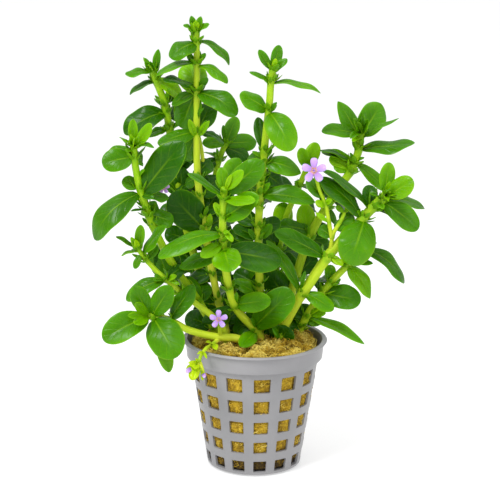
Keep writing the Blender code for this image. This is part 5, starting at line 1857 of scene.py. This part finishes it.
LEFT = Shoot(
    "left", (1.7, 1.3), -0.1,
    [(-12.6, 40, 2), (-13.2, 46, 1.6), (-15.6, 53, 0.8), (-19.5, 60, -0.5), (-24, 67, -2),
     (-28.3, 73.2, -3.2), (-32.2, 79.5, -4.2), (-36, 87, -5), (-38.5, 92.5, -5.3), (-40.8, 98.8, -5.8),
     (-42.8, 105, -6.3), (-44.3, 112, -7), (-45.2, 118.5, -7.6), (-45.4, 124, -8)],
    [(-45.4, 123, -45.6, 132.8, -8, 3.4, 12, FRESH), (-45.4, 121.9, -38.8, 131.2, -10, 4.2, 25, FRESH),
     (-45.4, 123, -50.7, 125.9, -11, 2.4, 66, MID, 0.5, 0.5),
     (-45.4, 123, -37.8, 122, -11, 3.2, 68, MID, 0.8, 0.5),
     (-45.2, 118.4, -57.2, 116.1, -9, 8.4, 30, MID, 0.6), (-45.2, 119.4, -42.2, 116.3, 0, 5.2, 35, SHADE),
     (-43.2, 107, -49.6, 110.2, -5, 5, 25), (-42.9, 105.3, -60.4, 87, -12, 10.2, 46, SHADE, 5.9),
     (-42.8, 105, -26.8, 124.3, -9.5, 11.8, 22, DARK, 1.5), (-42.6, 104.6, -38, 103, -10, 2.6, 30),
     (-38.5, 92.5, -31.5, 96.5, 13, 6.5, 20, DARK), (-16, 54, -26.3, 57.5, 6, 8.5, 20, DARK),
     (-29, 74.5, -36.8, 83, 0, 9.5, 20, DARK), (-24, 67, -31, 72, 6, 7, 40, DARK),
     (-28.3, 73.2, -27, 76, 11, 8, 60, DARK), (-45.3, 121.5, -48.4, 120.6, -10, 2),
     (-44, 111.5, -41.4, 114, -9, 1.6), (-40.9, 99, -46.8, 98, -7, 1.4, 60),
     (-45.1, 122.1, -46.4, 127.1, -15, 2.2, 20, YOUNG, 0.5, 0.5),
     (-45.1, 122.1, -43.1, 126.7, -16, 2.2, 20, YOUNG, 0.5, 0.5),
     (-45.1, 122.1, -45, 125.7, -18, 1.9, 30, YOUNG, 0.5, 0.5),
     (-45.1, 122.1, -47.6, 123.5, -17, 1.9, 40, FRESH, 0.5, 0.5),
     (-45.1, 122.1, -41.2, 124.3, -18, 2.2, 40, FRESH, 0.5, 0.4), (-45.2, 119.8, -56, 118, -4, 7.6, 20),
     (-41, 103.9, -32.5, 103.1, -4, 5.6, 60, MID, 0.5, 0.3), (-38.6, 96.6, -30.8, 93.8, -3, 6.6, 35),
     (-39.5, 99.8, -36.1, 98.8, 0, 5, 30), (-22.1, 62.5, -27.1, 72.9, 6, 7, 30, SHADE),
     (-22.1, 62.5, -19, 71, 8, 7, 30, DARK)],
    own=3, pale=0.05,
    twigs=[[(-42.6, 104.4, -6.3), (-39.3, 104.6, -4.5), (-36.6, 106.2, -2.5)]],
    flowers=[((-34.4, 107, -1.2), 0.5)])

LOW_LEFT = Shoot(
    "low_left", (1.4, 0.85), -0.1,
    [(-10, 40, -3.6), (-10.4, 46, -4), (-12.4, 53, -6.8), (-16.2, 57.6, -9), (-21, 61.3, -9),
     (-26, 65.2, -9.6), (-30.2, 68.7, -10), (-34, 72, -10.2), (-38, 75.8, -10.3), (-41.6, 80, -10.5),
     (-44.4, 84, -10.8)],
    [(-44, 83.4, -43, 92.8, -11, 3.6, 15, FRESH), (-44, 83.4, -52.4, 88.2, -11, 2.4, 70, FRESH),
     (-43.7, 83, -50.4, 80.7, -12, 3, 80, FRESH, 0.8), (-42.8, 81.8, -45.5, 75.8, -13, 2.6, 30),
     (-42.5, 81.3, -33.4, 92.6, -13, 6.6, 64, MID, 0.6, 0.4), (-41, 79.4, -36.6, 84.6, -8, 3, 30),
     (-34, 72, -48.8, 63.5, -12, 7, 48, MID, 2.3), (-33.8, 71.8, -27, 77, -6, 5, 40, DARK),
     (-44, 83.4, -46.8, 88, -13, 2, 20, YOUNG), (-34, 72, -38.6, 71.6, -13, 2),
     (-33.5, 71.5, -28.5, 69.8, -14, 1.6, 45, YOUNG),
     (-45.4, 83.6, -46.7, 87.6, -15, 2, 20, YOUNG, 0.5, 0.6),
     (-45.4, 83.6, -45.1, 87.1, -17, 2, 30, YOUNG, 0.5, 0.6),
     (-34.7, 72.5, -38.1, 73.1, -12, 3, 40, MID, 0.5, 0.4),
     (-32.8, 71.5, -29.6, 73.2, -14, 2.4, 40, YOUNG, 0.5, 0.5),
     (-27.1, 67, -22.1, 68.4, -6, 3.4, 30, SHADE), (-28.4, 74.8, -37.8, 85.1, 3, 9, 25)],
    own=1, pale=0.4)

TRAILING = Shoot(
    "trailing", (1.6, 1.2), 0.0,
    [(-3.6, 40, -6), (-3.7, 46.4, -7.2), (-7.4, 48.9, -8.8), (-13.3, 49.2, -10), (-20, 50.4, -11),
     (-26, 52.3, -12.2), (-30, 54.6, -13), (-34, 56.4, -14), (-38, 56.9, -15), (-41, 57.6, -15.5)],
    [(-40.4, 57.4, -57.8, 47.8, -21, 10.5, 40, MID, 1.8), (-38.3, 57, -29.5, 41.2, -27, 12.8, 22, MID, 2),
     (-38.8, 57.4, -31.7, 69.2, -18, 7.8, 25, MID, 0.8),
     (-32.4, 55.6, -22.9, 69.5, -16, 7, 44, SHADE, 0.6, 0.4), (-40.4, 57.4, -45.8, 68.8, -19, 6.8, 20),
     (-40.4, 57.4, -45.4, 62.4, -23, 3.4, 25, FRESH), (-40.4, 57.4, -48.2, 57.4, -24, 3, 30, FRESH),
     (-40.4, 57.4, -45.6, 54, -25, 4, 30, FRESH), (-37, 56.8, -32.6, 35, -15, 5.8, 25),
     (-21.1, 38.9, -24.2, 32, -27, 3.8, 20, BUD), (-16.3, 46.9, -14.7, 44.1, -22, 2.4, 30, BUD, 0.5, 0.3),
     (-17, 46.6, -18.6, 47.2, -24, 1.6, 30, BUD, 0.5, 0.3),
     (-19.3, 42.9, -21.9, 42.3, -27, 1.1, 30, BUD, 0.5, 0.3),
     (-19.2, 42.6, -18.2, 40.6, -28, 1.1, 30, BUD, 0.5, 0.3),
     (-21.5, 39.3, -25.4, 38.8, -29, 1.5, 30, BUD, 0.5, 0.3),
     (-21, 39.1, -22.7, 40.6, -29, 1.2, 30, BUD, 0.5, 0.3),
     (-22.7, 37.9, -24.7, 37.9, -30, 2.2, 30, BUD, 0.5, 0.3),
     (-22.7, 37.4, -23.4, 32.2, -31, 3.6, 30, BUD, 0.5, 0.3),
     (-22.1, 38.1, -22.7, 36.3, -33, 2.6, 30, BUD, 0.5, 0.3),
     (-22.7, 37.9, -26.1, 36.4, -28, 1.8, 30, BUD, 0.5, 0.3),
     (-21, 36.1, -19.8, 31.8, -29, 1.1, 30, BUD, 0.5, 0.3)],
    own=5, pale=0.75,
    twigs=[[(-13.3, 49, -9.5), (-16.4, 46, -15), (-18.6, 44.6, -20.5), (-20.6, 41.5, -24.5),
            (-21.2, 38.5, -26)],
           [(-21, 39, -25.7), (-20, 36.2, -27), (-19.3, 33.4, -27)],
           [(-21, 39, -25.7), (-23.6, 37.2, -27), (-25.9, 35.6, -27.5)],
           [(-13.4, 49.2, -9.3), (-13.3, 51.4, -11.5), (-13.6, 53.8, -12.8)]],
    flowers=[((-13.8, 56.3, -14.4), 0.75)],
    buds=[(-24.1, 36.7, -26.2, 34.9, -30.5, 1.7, 30), (-19.8, 34.7, -19.1, 33, -30.5, 1.6, 30)])

# Nearly all of this shoot's leaves are DARK: painted shade on leaves deep inside the plant.
BACK_LEFT = Shoot(
    "back_left", (1.5, 1.1), 0.1,
    [(-2.6, 40, 11), (-3.2, 46, 11.5), (-5.4, 55, 12.5), (-8.4, 66, 13.5), (-11.6, 80, 14), (-14, 95, 14),
     (-15.3, 108, 13.5), (-14.5, 115, 13), (-12.8, 120.5, 12.5), (-11, 124.5, 12)],
    [(-11.2, 124, -7.5, 133.9, 18, 5.6, 5), (-11.2, 124, 0, 124.6, 19, 7, 20),
     (-11.2, 124, -20, 123.8, 9, 5, 30), (-11.2, 124, -19.8, 128.2, 13, 4, 95, DARK),
     (-12, 122.5, -2.6, 118.6, 14, 7, 40, DARK), (-13.9, 117.7, -19.6, 120.4, 14, 3, 80),
     (-14, 117.5, -19.5, 114.8, 14, 4.6, 30, DARK), (-14.7, 102, -7, 95.5, 22, 8, 20, DARK),
     (-14.5, 99, -22, 93, 22, 8, 50, DARK), (-12, 81, -4, 84, 23, 9, 45, DARK),
     (-12, 81, -20, 75, 21, 9, 45, DARK), (-8.6, 67, -15, 66, 26, 9, 45, DARK),
     (-8.6, 67, -2, 70, 26, 9, 45, DARK), (-15.2, 108, -14, 107, 25, 7, 60, DARK),
     (-15.3, 106.5, -7.5, 106, 11, 7.5, 20, DARK), (-15.3, 106.5, -22.5, 103, 22, 7, 20, DARK),
     (-8.4, 66, -1.5, 63.5, 13, 7, 20, DARK), (-7, 60, -13, 65.5, 14, 6, 20, DARK),
     (-11.2, 124, -12.3, 130.8, 11, 1.8, 20), (-14, 117.5, -15.8, 120.8, 11, 1.6),
     (-3.3, 71.8, -10.2, 74, 10, 7, 30, DARK), (-2.1, 84.7, -7.7, 89.2, 10, 8, 30, DARK),
     (-2.5, 51.5, -5.1, 58.7, 10, 9, 20, DARK), (-15.8, 73, -24.6, 74.3, 12, 7, 30, DARK),
     (-14.5, 59.9, -12.7, 62.6, 10, 6, 30, DARK), (-15.8, 53.3, -23.4, 60.5, 8, 7, 30, DARK),
     (-4.6, 88.6, -10.3, 94.3, 9, 7, 30, DARK)])

# Nearly all of this shoot's leaves are DARK: painted shade on leaves deep inside the plant.
BACK_RIGHT = Shoot(
    "back_right", (1.5, 1.1), 0.1,
    [(5.6, 40, 14), (5.8, 46, 14), (6.4, 56, 14.5), (7.2, 68, 15), (8.6, 82, 15), (10.8, 94, 14.6),
     (13.6, 102.5, 13.8), (16, 108, 13), (17.8, 112.4, 12.2), (19.2, 115.8, 11.5)],
    [(18.9, 115.2, 22.2, 124.5, 12, 5.6, 10, YOUNG), (18.9, 115.2, 16.4, 122.5, 10, 4.4, 15, YOUNG),
     (10.2, 91, 10.4, 101.8, 18, 7.4, 12, YOUNG), (14, 103.3, 22, 99, 22, 8, 50, DARK),
     (13.8, 103, 6, 105, 21, 8, 50, DARK), (8.5, 81.5, 18, 84, 23, 9, 45, DARK),
     (8.4, 81, -1, 78, 22, 9, 45, DARK), (7, 66, 15, 62, 23, 8, 45, DARK),
     (7, 66, -2, 62, 22, 8, 45, DARK), (10.6, 93.3, 15, 94, 27, 8, 50, DARK),
     (16, 108, 18, 108, 25, 7, 60, DARK), (8.4, 80, 14.5, 76.5, 11, 7, 40, DARK),
     (8.8, 84, 3, 90, 12, 7, 20, DARK), (6.2, 53, 14, 57, 16, 6, 20, DARK),
     (16, 108, 14.2, 109.9, 11, 1.6), (6.1, 73.1, -3.3, 73.4, 12, 9, 30, DARK),
     (6.8, 68.6, 12.4, 73.8, 12, 9, 30, DARK), (6.8, 68.6, 4.9, 74.4, 12, 8, 30, DARK),
     (0.7, 48.9, -2.5, 55.4, 12, 9, 20, DARK), (2, 50.9, -0.6, 58.4, 11, 9, 20, DARK),
     (3.2, 52.2, -2.5, 60, 11, 8.5, 20, DARK)])

SHOOTS = [TALL_LEFT, UPPER_LEFT, TALL_RIGHT, UPPER_RIGHT, RIGHT, CENTRE, RIGHT_FORK, LEFT, LOW_LEFT,
          TRAILING, BACK_LEFT, BACK_RIGHT]


def main() -> None:
    """Builds the pot, the wool and the plant, then the studio."""
    logging.basicConfig(level=logging.INFO, format="%(message)s")
    pot = NetPot()
    pot.make(RoundTree(), PlasticFinish().material())
    RockWool(pot).make(FibreTree(), WoolFinish())
    dress = Dress()
    for shoot in SHOOTS:
        ShootMaker(shoot, dress).make()
    flowers = [(*flower, shoot.lean) for shoot in SHOOTS for flower in shoot.flowers]
    for number, flower in enumerate(flowers, 1):
        FlowerMaker(number, *flower, dress).make()
    Studio().make()


if __name__ == "__main__":
    main()
